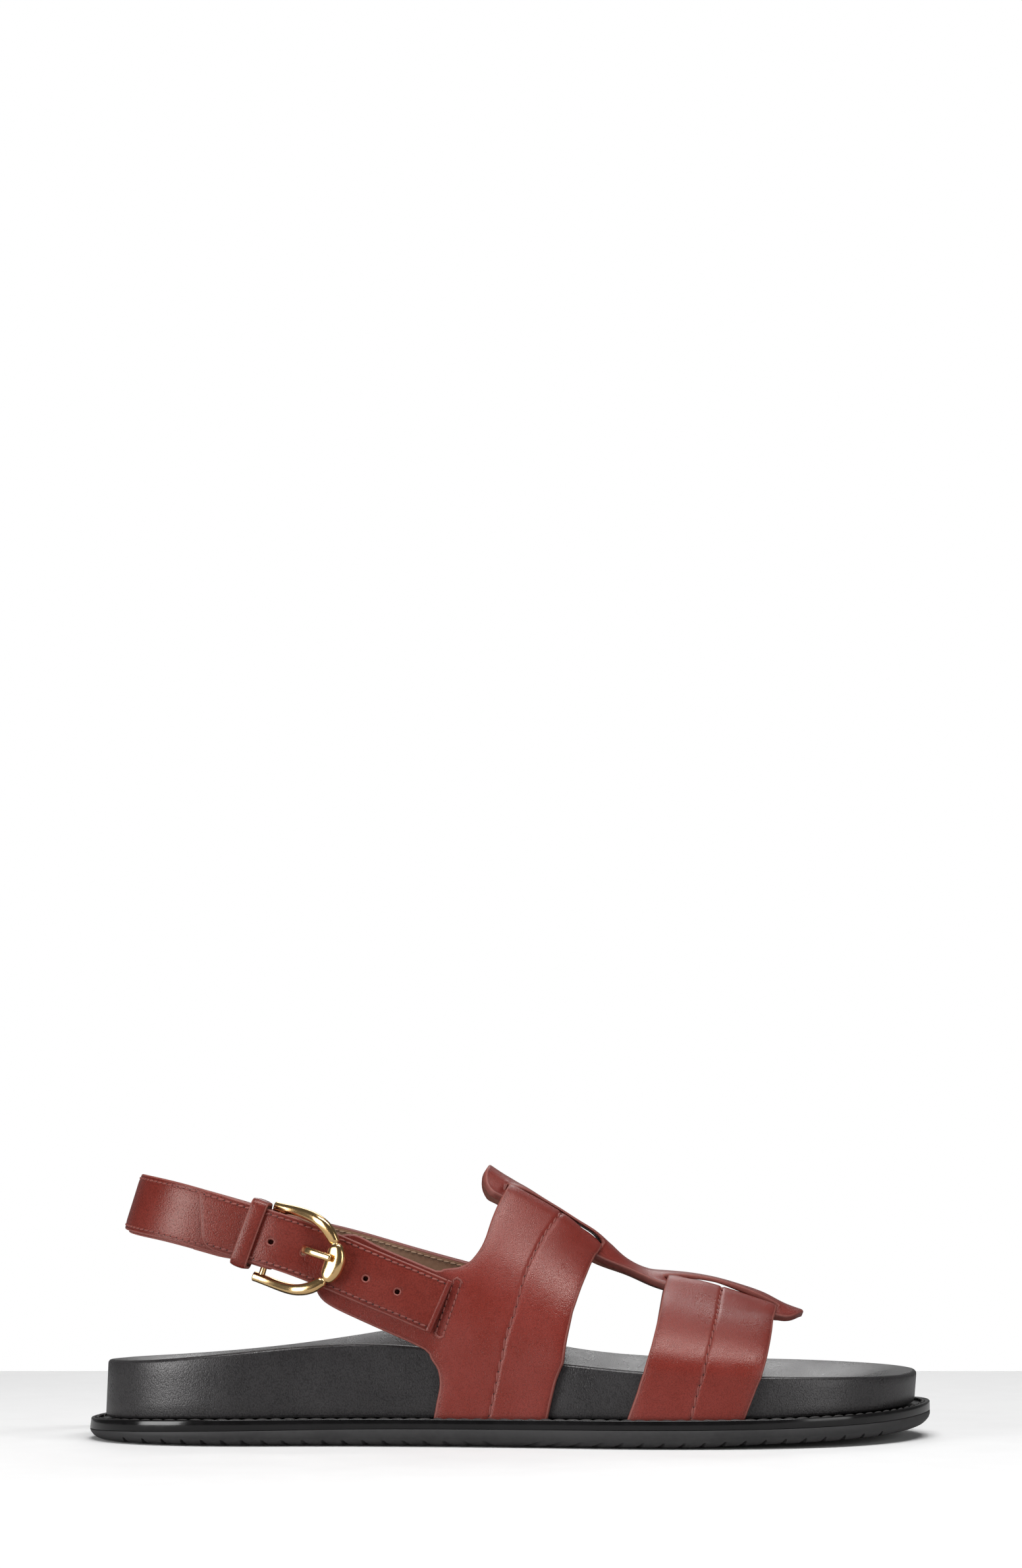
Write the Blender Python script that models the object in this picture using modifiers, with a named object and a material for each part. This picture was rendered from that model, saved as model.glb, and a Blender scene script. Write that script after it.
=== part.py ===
"""Right-foot fisherman sandal with a buckled heel strap.

The model is in its own frame: +X runs from heel to toe, +Y to the medial side, +Z up, with the
origin on the floor under the middle of the sole. Sizes are in millimetres and become metres in
add_mesh. The sandal is an outsole, a welt, a dished footbed, a one-piece upper (two bands woven
through a centre strip, with a side tab), a heel strap with its keeper, and a buckled strap.
"""

import math

import bmesh
import bpy
import numpy as np

MM = 0.001
GAP = 0.3

BAND_WALL = 2.2
STRIP_WALL = 2.2
HEEL_STRAP_WALL = 3.0
BUCKLE_STRAP_WALL = 2.0
KEEPER_WALL = 1.3
HEEL_STRAP_WIDTH = 17.4
BUCKLE_STRAP_WIDTH = 17.0

SIDE_POINTS = 48
SHARE_STEP = 0.004

# Footbed seen from above, anticlockwise from the back of the heel; the toe tip is row 10.
FOOTBED_OUTLINE = (
    (-126.1, 0.0),
    (-118.0, -19.8),
    (-98.3, -30.2),
    (-60.0, -31.8),
    (-25.0, -33.6),
    (10.0, -38.3),
    (40.0, -43.0),
    (70.0, -42.6),
    (98.5, -33.8),
    (118.3, -14.5),
    (126.8, 9.0),
    (122.2, 27.0),
    (103.4, 40.2),
    (75.0, 45.4),
    (45.0, 43.0),
    (10.0, 36.0),
    (-25.0, 31.6),
    (-60.0, 30.6),
    (-98.3, 29.6),
    (-118.0, 19.4),
)
TOE_ROW = 10

# Heights along the sole: underside, top of the welt, how far the welt stands out, its thickness.
SOLE = (
    # x, underside, welt top, margin, plate
    (-131.5, 0.0, 5.9, 5.0, 3.3),
    (-117.0, 0.0, 6.8, 4.8, 3.4),
    (-90.0, 0.0, 7.5, 4.6, 3.4),
    (-40.0, 0.0, 7.9, 4.5, 3.1),
    (0.0, 0.0, 8.0, 4.5, 3.0),
    (50.0, 0.0, 8.2, 4.5, 3.0),
    (75.0, 0.8, 8.4, 4.5, 3.0),
    (100.0, 1.5, 8.9, 4.6, 3.0),
    (118.0, 2.3, 9.5, 4.7, 3.0),
    (131.7, 4.0, 10.6, 4.8, 3.0),
)
WELT_EDGE = 0.5
UNDERCUT = 1.5
UNDERCUT_HEIGHT = 2.0

# Tread: grooves that run in from both edges and slant towards the middle of the foot, most
# where the two halves meet.
GROOVE_PITCH = 6.1
GROOVE_WIDTH = 1.7
GROOVE_DEPTH = 1.6
GROOVE_REACH = 17.0
GROOVE_OVERRUN = 5.0
GROOVE_SPAN = (-118.5, 118.0)
GROOVE_SLANT = (36.0, 26.0, 45.0)
GROOVE_MEETING = 8.0

# Footbed heights: rim on each side, and the floor of the dish.
FOOTBED = (
    # x, lateral rim, medial rim, floor, lean of the wall
    (-126.0, 23.9, 23.4, 19.5, 0.5),
    (-112.0, 24.7, 23.5, 17.5, 0.5),
    (-75.0, 28.2, 26.0, 18.2, 0.5),
    (-43.0, 30.0, 30.5, 21.0, 0.5),
    (-25.0, 29.0, 32.6, 21.4, 0.5),
    (0.0, 26.2, 29.2, 19.8, 0.5),
    (20.0, 24.0, 25.0, 18.0, 0.5),
    (44.0, 22.0, 22.2, 16.4, 0.5),
    (90.0, 20.4, 21.0, 15.4, 0.4),
    (127.0, 19.2, 20.0, 17.4, -0.7),
)
RIM_RADIUS = 2.4
# Rings of the dish: how far in from the wall, and the share of the rim's height left.
DISH = ((2.4, 1.0), (5.0, 0.78), (10.0, 0.36), (16.0, 0.1), (23.0, 0.0))
SPINE = (-97.0, 86.0)

# The last: the wall stands on the footbed's edge up to the spring height, then each side closes
# in to the ridge on a conic, fuller where the weight is larger.
LAST = (
    # x, spring height, ridge height, ridge side, conic weight, tuck
    (-62.0, 34.0, 107.0, 0.0, 0.68, 2.2),
    (-30.0, 31.0, 93.0, 0.2, 0.68, 0.3),
    (-8.0, 28.0, 80.0, 0.4, 0.66, 0.0),
    (10.0, 25.6, 68.4, 0.8, 0.62, 0.0),
    (28.0, 23.4, 56.8, 1.4, 0.56, 0.0),
    (46.0, 21.8, 47.9, 2.1, 0.50, 0.0),
    (64.0, 20.9, 44.0, 2.8, 0.48, 0.0),
    (81.0, 20.3, 38.6, 3.5, 0.48, 0.0),
    (95.0, 20.0, 34.4, 4.0, 0.48, 0.0),
)

# Edges of the bands round the last. A turn is 0 at the lateral welt, 1 at the lateral rim,
# 2 on the ridge, 3 at the medial rim and 4 at the medial welt.
INSTEP_BAND = (
    # turn, rear x, front x
    (0.00, -23.2, 11.2),
    (0.20, -22.4, 11.9),
    (0.48, -21.4, 13.0),
    (0.66, -22.0, 13.8),
    (0.868, -24.6, 15.1),
    (0.98, -23.6, 15.9),
    (1.11, -22.5, 16.8),
    (1.256, -21.6, 18.4),
    (1.29, -16.2, 18.8),
    (1.33, -12.6, 19.5),
    (1.43, -8.6, 21.2),
    (1.55, -6.4, 23.2),
    (1.84, -2.2, 26.9),
    (2.00, -0.8, 28.4),
    (2.16, -2.2, 27.2),
    (2.45, -7.0, 23.4),
    (2.70, -13.0, 20.6),
    (3.00, -17.5, 17.8),
    (3.50, -19.4, 15.6),
    (4.00, -20.4, 13.8),
)
INSTEP_ROWS = (0, 0.2, 0.48, 0.66, 0.868, 0.98, 1.11, 1.256, 1.29, 1.33, 1.43, 1.55)
FOREFOOT_BAND = (
    # turn, rear x, front x
    (0.00, 35.0, 70.0),
    (0.50, 37.6, 72.4),
    (1.00, 39.9, 75.0),
    (1.25, 42.5, 77.2),
    (1.55, 45.6, 79.8),
    (2.00, 48.8, 82.6),
    (2.45, 46.8, 81.4),
    (2.75, 45.0, 79.8),
    (3.00, 42.8, 78.0),
    (3.50, 40.4, 75.2),
    (4.00, 37.8, 72.8),
)
FOREFOOT_ROWS = (0, 0.5, 1.0, 1.15, 1.3, 1.45)
MEDIAL_ROWS = (2.48, 2.6, 2.72, 2.86, 3.0, 3.5, 4.0)
BAND_COLUMNS = 4

# Side tab under the buckle: its lower and upper ends in side view, from its root backwards.
TAB_ROOT = (0.868, 1.256)
TAB = (
    # lower x, lower z, upper x, upper z, bulge of the middle
    (-30.0, 30.3, -27.2, 53.8, 0.0),
    (-38.0, 33.7, -34.5, 56.8, 0.0),
    (-46.6, 37.4, -41.5, 59.9, 0.0),
    (-53.0, 40.3, -46.6, 62.4, 0.0),
    (-57.0, 43.0, -50.6, 62.6, 0.9),
    (-58.8, 46.1, -53.4, 60.8, 1.6),
)

# Centre strip: stations along the ridge, half width, lift of its middle off the last, and the
# radius it is rolled to.
STRIP = (
    # x, half width, lift, roll
    (-9.5, 15.0, 1.9, 22.0),
    (-5.9, 15.2, 1.8, 22.0),
    (-1.9, 15.2, 2.1, 22.0),
    (2.7, 15.2, 2.8, 22.0),
    (7.6, 15.0, 3.1, 22.0),
    (13.1, 14.8, 3.2, 22.0),
    (19.2, 14.4, 3.3, 22.0),
    (23.4, 13.9, 3.1, 22.0),
    (28.8, 12.4, 1.3, 22.5),
    (33.7, 10.4, 0.2, 23.0),
    (38.1, 9.4, 0.0, 24.0),
    (43.3, 10.6, 0.7, 27.0),
    (47.1, 12.4, 1.8, 30.0),
    (52.9, 13.8, 2.9, 32.0),
    (62.2, 14.2, 3.1, 34.0),
    (71.3, 14.2, 2.8, 35.0),
    (78.5, 13.9, 2.1, 36.0),
    (83.6, 13.4, 1.1, 36.0),
    (90.1, 13.0, 0.6, 36.0),
)
TONGUE_ROUND = (-3.0, 2.8)
TOE_ROUND = (80.0, 2.1)
# Share of the half width where each slit starts and ends, and across the strip's sections.
SLIT = (0.6, 0.74)
STRIP_SHARES = (0.0, 0.31, *SLIT, 0.87, 1.0)
STRIP_STATIONS = 52
STRIP_CROWDING = 0.62
RAIL_BITE = 0.45
RAIL_SHOULDER = 2.6
RAIL_INSIDE = 2.3
BAND_FADE = 5.0

# Heel strap: centre of its inner face, from the buckle round the heel to the medial end.
HEEL_STRAP = (
    # x, y, z, lean, extra width below
    (-73.0, -25.4, 61.2, 0.0, 0.1),
    (-84.0, -24.2, 64.4, 0.0, 0.1),
    (-94.5, -22.4, 67.6, 0.0, 0.2),
    (-104.5, -18.2, 70.4, 0.0, 0.2),
    (-111.9, -10.6, 71.9, 0.0, 0.2),
    (-114.8, 0.0, 72.3, 0.0, 0.1),
    (-111.9, 10.6, 71.3, 0.0, 0.0),
    (-104.5, 18.2, 69.6, 0.0, 0.0),
    (-94.5, 22.4, 66.8, 0.0, 0.0),
    (-84.0, 24.4, 63.5, 0.0, 0.0),
    (-70.0, 26.0, 59.4, -0.02, 0.0),
    (-55.0, 26.9, 55.8, -0.06, 0.0),
    (-38.5, 27.1, 51.0, -0.11, 0.0),
    (-27.0, 27.1, 47.5, -0.14, 0.0),
    (-14.5, 27.5, 43.9, -0.17, 0.0),
    (-4.0, 28.4, 40.8, -0.19, 0.0),
)
HEEL_STRAP_TILT = math.radians(17)
HEEL_STRAP_STATIONS = 56

# Buckle strap: centre of its inner face from the slit in the band back to the tip.
BUCKLE_STRAP = (
    # x, y, z, tilt in degrees, lean
    (-21.4, -36.1, 41.2, 20.5, 0.11),
    (-30.0, -35.2, 44.8, 20.5, 0.11),
    (-41.0, -34.0, 49.2, 20.5, 0.11),
    (-54.0, -32.3, 54.6, 20.5, 0.11),
    (-64.0, -31.1, 58.5, 19.5, 0.07),
    (-73.0, -30.3, 61.5, 17.0, 0.02),
    (-79.5, -28.6, 63.4, 17.0, 0.0),
    (-86.0, -27.5, 65.3, 17.0, 0.0),
    (-92.0, -26.4, 67.2, 16.5, 0.0),
    (-97.1, -25.2, 68.6, 16.0, 0.0),
)
BUCKLE_STRAP_STATIONS = 32
BUCKLE_STRAP_SHARES = (-1, -0.86, -0.6, 0, 0.6, 0.86, 1)
TIP_SLANT = 5.9
TIP_CORNER = 3.5

# Buckle, in its own plane: along the strap from the crossbar, and half the width across.
CROSSBAR_RADIUS = 1.0
EYE = (-73.0, -26.9, 61.2)
BUCKLE_DROP = 0.85
KNUCKLE = (-53.8, -37.1, 54.5)
FRAME = (
    # along, across, half width, half depth, bow outwards
    (-3.2, 11.3, 0.7, 0.6, 0.0),
    (-2.9, 11.3, 1.4, 1.3, 0.0),
    (4.0, 11.5, 1.5, 1.4, 0.3),
    (10.0, 11.5, 1.6, 1.5, 1.4),
    (15.0, 10.8, 1.7, 1.5, 2.1),
    (18.8, 8.8, 1.8, 1.5, 1.5),
    (21.2, 6.2, 1.7, 1.4, 0.5),
    (22.2, 4.4, 2.5, 1.7, 0.2),
    (22.8, 2.2, 3.1, 1.9, 0.0),
    (23.0, 0.0, 3.2, 1.9, 0.0),
)
FRAME_SIDES = 10
PRONG_WIDTH = 2.3
PRONG_ACROSS = 1.3
# Prong past its hook, in the plane along the strap and outwards.
PRONG = (
    # along, outwards, half thickness
    (2.6, 0.9, 0.55),
    (5.2, -0.9, 0.8),
    (8.4, -2.6, 0.9),
    (10.8, -2.6, 0.9),
    (12.4, -0.4, 0.9),
    (13.8, 2.0, 0.9),
    (16.0, 3.3, 0.9),
    (19.5, 3.5, 0.9),
    (23.2, 3.2, 0.9),
)
PRONG_STATIONS = 44
HOOK_TURN = (-75, -300)
HOOK_RADIUS = 1.75
HOOK_HALF_WALL = 0.42
EYE_RADIUS = 2.8
EYE_SLOT = (10.2, 2.9, 9.6)
PRONG_HOLE_ALONG = 12.9
PRONG_HOLE = (4.8, 2.9, 7.0)

KEEPER_CENTRE = (-79.4, -27.7, 63.25)
KEEPER_TILT = math.radians(20)
KEEPER_TURN = 0.13
KEEPER_CORNER = 1.6
KEEPER_CORNER_STEPS = 3
KEEPER_HALF_HEIGHT = 10.2
KEEPER_HALF_DEPTH = 4.2
KEEPER_BAND = 5.2

COLOURS = {
    # node: colour, roughness, metallic
    "outsole": ((0.026, 0.025, 0.027), 0.75, 0.0),
    "welt": ((0.014, 0.013, 0.014), 0.35, 0.0),
    "footbed": ((0.035, 0.034, 0.036), 0.42, 0.0),
    "upper": ((0.26, 0.062, 0.045), 0.42, 0.0),
    "heel_strap": ((0.24, 0.056, 0.040), 0.42, 0.0),
    "buckle_strap": ((0.21, 0.046, 0.033), 0.42, 0.0),
    "keeper_loop": ((0.26, 0.062, 0.045), 0.42, 0.0),
    "buckle_frame": ((0.83, 0.58, 0.22), 0.16, 1.0),
    "buckle_prong": ((0.83, 0.58, 0.22), 0.16, 1.0),
}


# ---------------------------------------------------------------- curves and tables


def spline(knots, values):
    """Natural cubic spline through the values at the knots, as a function of one number."""
    knots = np.asarray(knots, float)
    values = np.asarray(values, float)
    count = len(knots)
    step = np.diff(knots)
    system = np.eye(count)
    right = np.zeros_like(values)
    for i in range(1, count - 1):
        system[i, i - 1 : i + 2] = step[i - 1], 2 * (step[i - 1] + step[i]), step[i]
        rise = (values[i + 1] - values[i]) / step[i]
        right[i] = 6 * (rise - (values[i] - values[i - 1]) / step[i - 1])
    bend = np.linalg.solve(system, right)

    def at(x):
        x = min(max(x, knots[0]), knots[-1])
        i = int(np.clip(np.searchsorted(knots, x) - 1, 0, count - 2))
        h = step[i]
        ahead = knots[i + 1] - x
        behind = x - knots[i]
        curved = (bend[i] * ahead**3 + bend[i + 1] * behind**3) / (6 * h)
        from_left = (values[i] / h - bend[i] * h / 6) * ahead
        return curved + from_left + (values[i + 1] / h - bend[i + 1] * h / 6) * behind

    return at


def column(table, index):
    """One column of a table as a smooth function of its first column."""
    return spline([row[0] for row in table], [row[index] for row in table])


def straight(table, index):
    """One column of a table as straight runs between its rows."""
    knots = [row[0] for row in table]
    values = [row[index] for row in table]
    return lambda x: float(np.interp(x, knots, values))


def eased(table, index):
    """One column of a table, smooth and never past the values of its rows."""
    knots = np.array([row[0] for row in table], float)
    values = np.array([row[index] for row in table], float)
    rise = np.diff(values) / np.diff(knots)
    slopes = np.zeros(len(knots))
    for i in range(1, len(knots) - 1):
        if rise[i - 1] * rise[i] > 0:
            slopes[i] = 2 * rise[i - 1] * rise[i] / (rise[i - 1] + rise[i])
    slopes[0], slopes[-1] = rise[0], rise[-1]

    def at(x):
        x = min(max(x, knots[0]), knots[-1])
        i = int(np.clip(np.searchsorted(knots, x) - 1, 0, len(knots) - 2))
        h = knots[i + 1] - knots[i]
        t = (x - knots[i]) / h
        ends = values[i] + (values[i + 1] - values[i]) * t * t * (3 - 2 * t)
        return ends + h * t * (1 - t) * (slopes[i] * (1 - t) - slopes[i + 1] * t)

    return at


def path(points):
    """Smooth curve through points, as a function of a share from 0 to 1 of its chord length."""
    points = np.asarray(points, float)
    chord = np.linalg.norm(np.diff(points[:, :3], axis=0), axis=1)
    knots = np.concatenate([[0], np.cumsum(chord)])
    return spline(knots / knots[-1], points)


def unit(vector):
    return vector / np.linalg.norm(vector)


def closed_outline(points, per_side):
    """Even ring: back of the heel, lateral side to the toe tip, and back down the medial side."""
    points = np.asarray(points, float)
    wrap = 4
    wrapped = np.vstack([points[-wrap:], points, points[: wrap + 1]])
    chord = np.linalg.norm(np.diff(wrapped, axis=0), axis=1)
    knots = np.concatenate([[0], np.cumsum(chord)])
    curve = spline(knots, wrapped)
    toe = wrap + TOE_ROW
    halves = []
    for first, last in ((wrap, toe), (toe, wrap + len(points))):
        fine = np.array([curve(s) for s in np.linspace(knots[first], knots[last], 500)])
        run = np.linalg.norm(np.diff(fine, axis=0), axis=1)
        run = np.concatenate([[0], np.cumsum(run)])
        even = np.linspace(0, run[-1], per_side + 1)[:-1]
        halves.append(np.column_stack([np.interp(even, run, fine[:, k]) for k in (0, 1)]))
    return np.vstack(halves)


FINE_SIDE = 250
FINE_RING = closed_outline(FOOTBED_OUTLINE, FINE_SIDE)
LATERAL_EDGE = FINE_RING[: FINE_SIDE + 1]
MEDIAL_EDGE = np.vstack([FINE_RING[FINE_SIDE:], FINE_RING[:1]])[::-1]

sole_bottom = eased(SOLE, 1)
welt_top = eased(SOLE, 2)
sole_margin = eased(SOLE, 3)
welt_thickness = eased(SOLE, 4)
rims = {-1: column(FOOTBED, 1), 1: column(FOOTBED, 2)}
footbed_floor = column(FOOTBED, 3)
footbed_lean = eased(FOOTBED, 4)

spring_height = column(LAST, 1)
ridge_height = column(LAST, 2)
ridge_side = column(LAST, 3)
conic_weight = column(LAST, 4)
tuck = column(LAST, 5)

strip_half_width = column(STRIP, 1)
strip_lift = column(STRIP, 2)
strip_roll = column(STRIP, 3)


def footbed_half_width(x, side):
    """Distance of the footbed's edge from the centre plane; side is -1 lateral, 1 medial."""
    edge = LATERAL_EDGE if side < 0 else MEDIAL_EDGE
    return float(abs(np.interp(x, edge[:, 0], edge[:, 1])))


# ---------------------------------------------------------------- the last


def last_point(x, turn):
    """Point on the last's surface, which is the inner face of the bands."""
    side = -1 if turn <= 2 else 1
    height = min(turn, 4 - turn)
    wall_y = side * (footbed_half_width(x, side) + GAP - tuck(x))
    foot = welt_top(x) + GAP
    spring = spring_height(x)
    if height <= 1:
        return np.array([x, wall_y, foot + (spring - foot) * height])
    t = height - 1
    blend = (1 - t) ** 2 + 2 * conic_weight(x) * t * (1 - t) + t * t
    inward = t * t / blend
    below = (1 - t) ** 2 / blend
    y = wall_y + (ridge_side(x) - wall_y) * inward
    return np.array([x, y, ridge_height(x) - (ridge_height(x) - spring) * below])


def last_normal(x, turn):
    """Outward normal of the last."""
    low, high = max(turn - 0.02, 0.0), min(turn + 0.02, 4.0)
    along = last_point(x + 0.5, turn) - last_point(x - 0.5, turn)
    return unit(np.cross(along, last_point(x, high) - last_point(x, low)))


def turn_at_height(x, z):
    """Lateral turn at which the last reaches the height z."""
    low, high = 0.0, 2.0
    for _ in range(30):
        middle = (low + high) / 2
        if last_point(x, middle)[2] < z:
            low = middle
        else:
            high = middle
    return low


def turn_at_offset(x, offset):
    """Turn at which the last is this far to the side of its ridge."""
    side = -1 if offset <= 0 else 1
    reach = footbed_half_width(x, side) + GAP - tuck(x) - side * ridge_side(x)
    share = 1 - abs(offset) / reach
    weight = conic_weight(x)
    rest = 1 / share - 1
    if rest < 1e-9:
        return 2.0
    ratio = (weight + math.sqrt(weight**2 + rest)) / rest
    height = 1 + ratio / (1 + ratio)
    return height if side < 0 else 4 - height


# ---------------------------------------------------------------- the centre strip


def end_rounding(x):
    """Share of the strip's half width left by its two rounded ends."""
    start, power = TONGUE_ROUND
    if x < start:
        depth = (start - x) / (start - STRIP[0][0] + 0.05)
        return max(1 - depth**power, 0.02) ** (1 / power)
    start, power = TOE_ROUND
    if x > start:
        depth = (x - start) / (STRIP[-1][0] + 0.05 - start)
        return max(1 - depth**power, 0.02) ** (1 / power)
    return 1.0


def in_bands(x):
    """1 where a band lies under the strip at this station, fading to 0 past its edges."""
    for table in (INSTEP_BAND, FOREFOOT_BAND):
        rear = straight(table, 1)(1.86)
        front = straight(table, 2)(1.86)
        inside = min(x - rear, front - x)
        if inside > -BAND_FADE:
            return min(1.0, 1 + inside / BAND_FADE)
    return 0.0


def strip_frame(x):
    """Ridge point and upward normal of the strip at a station."""
    slope = (ridge_height(x + 0.5) - ridge_height(x - 0.5)) / 1.0
    tilt = math.atan(-slope)
    normal = np.array([math.sin(tilt), 0.0, math.cos(tilt)])
    return np.array([x, ridge_side(x), ridge_height(x)]), normal


def strip_point(x, across, height):
    """Point of the strip: across is the distance from its middle along the rolled surface."""
    ridge, normal = strip_frame(x)
    roll = strip_roll(x)
    turned = across / roll
    sideways = np.array([0.0, math.sin(turned), 0.0])
    radial = sideways + normal * math.cos(turned)
    return ridge - normal * roll + radial * (roll + height)


def strip_height(x, share):
    """Lift of the strip's inner face; share is the distance across over the half width."""
    middle = abs(share) / SLIT[0]
    arch = 1.0 if middle <= 1 else 0.0
    bell = math.cos(min(abs(share), 1.0) * math.pi / 2) ** 2
    woven = in_bands(x)
    return strip_lift(x) * (arch * woven + bell * (1 - woven))


def strip_sheet():
    """Rows of the strip along its length, and the faces left out for its slits."""
    even = np.linspace(0, 1, STRIP_STATIONS + 1)
    crowded = even - STRIP_CROWDING * np.sin(2 * math.pi * even) / (2 * math.pi)
    stations = STRIP[0][0] + (STRIP[-1][0] - STRIP[0][0]) * crowded
    shares = [-share for share in STRIP_SHARES[:0:-1]] + list(STRIP_SHARES)
    slit_columns = (shares.index(-SLIT[1]), shares.index(SLIT[0]))
    rows = []
    slits = set()
    for index, x in enumerate(stations):
        left = end_rounding(x)
        half = strip_half_width(x)
        rows.append([strip_point(x, s * left * half, strip_height(x, s * left)) for s in shares])
        after = stations[min(index + 1, STRIP_STATIONS)]
        if in_bands((x + after) / 2) >= 0.9:
            slits |= {(index, slot) for slot in slit_columns}
    return np.array(rows), slits


def rail_top(point, normal):
    """How far the top of the strip's rail stands off the last here, 0 away from the rails."""
    station = point[0]
    for _ in range(6):
        ridge, up = strip_frame(station)
        forward = np.array([up[2], 0.0, -up[0]])
        station += float((point - ridge) @ forward) * forward[0]
    ridge, up = strip_frame(station)
    roll = strip_roll(station)
    aside = point[1] - ridge[1]
    across = roll * math.asin(max(-0.99, min(0.99, aside / roll)))
    half = strip_half_width(station)
    share = abs(across) / half
    top = strip_point(station, across, STRIP_WALL) - point
    clear = float(top @ normal) - RAIL_BITE
    outer = (abs(across) - half) / RAIL_SHOULDER
    inner = (SLIT[1] * half + 0.2 - abs(across)) / RAIL_INSIDE
    hidden = max(outer, inner, 0.0)
    if share < SLIT[0] and inner > 1:
        return 0.0
    return max(clear, 0.0) * max(1 - hidden, 0.0)


# ---------------------------------------------------------------- meshes and modifiers


def clear_scene():
    for obj in list(bpy.data.objects):
        bpy.data.objects.remove(obj, do_unlink=True)
    for collection in list(bpy.data.collections):
        bpy.data.collections.remove(collection)


def new_collection(name):
    collection = bpy.data.collections.new(name)
    bpy.context.scene.collection.children.link(collection)
    return collection


def material_for(name):
    colour, roughness, metallic = COLOURS[name]
    material = bpy.data.materials.new(name)
    material.use_nodes = True
    shader = material.node_tree.nodes["Principled BSDF"]
    shader.inputs["Base Color"].default_value = (*colour, 1.0)
    shader.inputs["Roughness"].default_value = roughness
    shader.inputs["Metallic"].default_value = metallic
    material.diffuse_color = (*colour, 1.0)
    return material


def add_mesh(name, points, faces, collection):
    """Object from points in millimetres."""
    mesh = bpy.data.meshes.new(name)
    mesh.from_pydata([tuple(point) for point in np.asarray(points) * MM], [], faces)
    mesh.update()
    mesh.shade_smooth()
    mesh.set_sharp_from_angle(angle=math.radians(35))
    obj = bpy.data.objects.new(name, mesh)
    collection.objects.link(obj)
    return obj


def add_part(name, points, faces, parts):
    obj = add_mesh(name, points, faces, parts)
    obj.data.materials.append(material_for(name))
    return obj


def as_cutter(obj):
    obj.hide_render = True
    obj.display_type = "WIRE"
    return obj


def add_boolean(obj, operation, other):
    modifier = obj.modifiers.new(f"{operation.lower()}_{other.name}", "BOOLEAN")
    modifier.operation = operation
    modifier.object = other
    modifier.solver = "EXACT"
    return modifier


def solidify(obj, wall):
    """Wall grown outwards from an inner face."""
    modifier = obj.modifiers.new("wall", "SOLIDIFY")
    modifier.thickness = wall * MM
    modifier.offset = 1.0
    return modifier


def grid_faces(rows, columns, closed=False, left_out=()):
    """Quads between rows of points; a closed grid joins its last row to its first."""
    faces = []
    for r in range(rows if closed else rows - 1):
        after = (r + 1) % rows
        for c in range(columns - 1):
            if (r, c) not in left_out:
                quad = (r * columns + c, r * columns + c + 1)
                faces.append((*quad, after * columns + c + 1, after * columns + c))
    return faces


def ring_stack(rings):
    """Closed body from rings of one outline, bottom first, capped by strips across its width."""
    rings = np.asarray(rings)
    levels, count = rings.shape[:2]
    faces = []
    for level in range(levels - 1):
        low, high = level * count, (level + 1) * count
        for i in range(count):
            j = (i + 1) % count
            faces.append((low + i, low + j, high + j, high + i))
    top = (levels - 1) * count
    for i in range(count // 2):
        near = (i, i + 1, (count - i - 1) % count, (count - i) % count)
        across = list(dict.fromkeys(near))
        faces.append(tuple(across[::-1]))
        faces.append(tuple(top + k for k in across))
    return rings.reshape(-1, 3), faces


def section_stack(sections):
    """Closed body through a run of sections with flat ends."""
    sections = np.asarray(sections)
    count, sides = sections.shape[:2]
    faces = []
    for s in range(count - 1):
        for i in range(sides):
            j = (i + 1) % sides
            low, high = s * sides, (s + 1) * sides
            faces.append((low + i, low + j, high + j, high + i))
    faces.append(tuple(range(sides))[::-1])
    faces.append(tuple((count - 1) * sides + i for i in range(sides)))
    return sections.reshape(-1, 3), faces


def face_outwards(obj):
    mesh = bmesh.new()
    mesh.from_mesh(obj.data)
    bmesh.ops.recalc_face_normals(mesh, faces=mesh.faces)
    mesh.to_mesh(obj.data)
    mesh.free()


def cylinder(name, centre, axis, radius, length, sides, collection):
    """Cylinder about a line."""
    mesh = bmesh.new()
    bmesh.ops.create_cone(
        mesh,
        cap_ends=True,
        segments=sides,
        radius1=radius * MM,
        radius2=radius * MM,
        depth=length * MM,
    )
    return placed_primitive(name, mesh, centre, axis, collection)


def box(name, centre, axes, size, collection):
    mesh = bmesh.new()
    bmesh.ops.create_cube(mesh, size=MM)
    bmesh.ops.scale(mesh, vec=size, verts=mesh.verts)
    return placed_primitive(name, mesh, centre, axes, collection)


def placed_primitive(name, mesh, centre, axes, collection):
    """Moves a primitive so that it stands on its axes: one vector for Z, or all three."""
    if np.ndim(axes) == 1:
        z = unit(np.asarray(axes))
        x = unit(np.cross(z, (0.3, 1.0, 0.2)))
        axes = (x, np.cross(z, x), z)
    turn = np.column_stack(axes)
    centre = np.asarray(centre) * MM
    for vert in mesh.verts:
        vert.co = turn @ np.array(vert.co) + centre
    data = bpy.data.meshes.new(name)
    mesh.to_mesh(data)
    mesh.free()
    obj = bpy.data.objects.new(name, data)
    collection.objects.link(obj)
    return as_cutter(obj)


# ---------------------------------------------------------------- sole


def outline_ring(outward):
    """Ring of the footbed's outline moved out along its normal; outward is a function of x."""
    ring = closed_outline(FOOTBED_OUTLINE, SIDE_POINTS)
    tangent = np.roll(ring, -1, axis=0) - np.roll(ring, 1, axis=0)
    normal = np.column_stack([tangent[:, 1], -tangent[:, 0]])
    normal /= np.linalg.norm(normal, axis=1)[:, None]
    return ring + normal * np.array([outward(x) for x in ring[:, 0]])[:, None]


def level(ring, height):
    """Ring with its heights given by a function of x."""
    return np.column_stack([ring, [height(x) for x in ring[:, 0]]])


def outsole_top(x):
    return welt_top(x) - welt_thickness(x) - GAP


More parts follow.
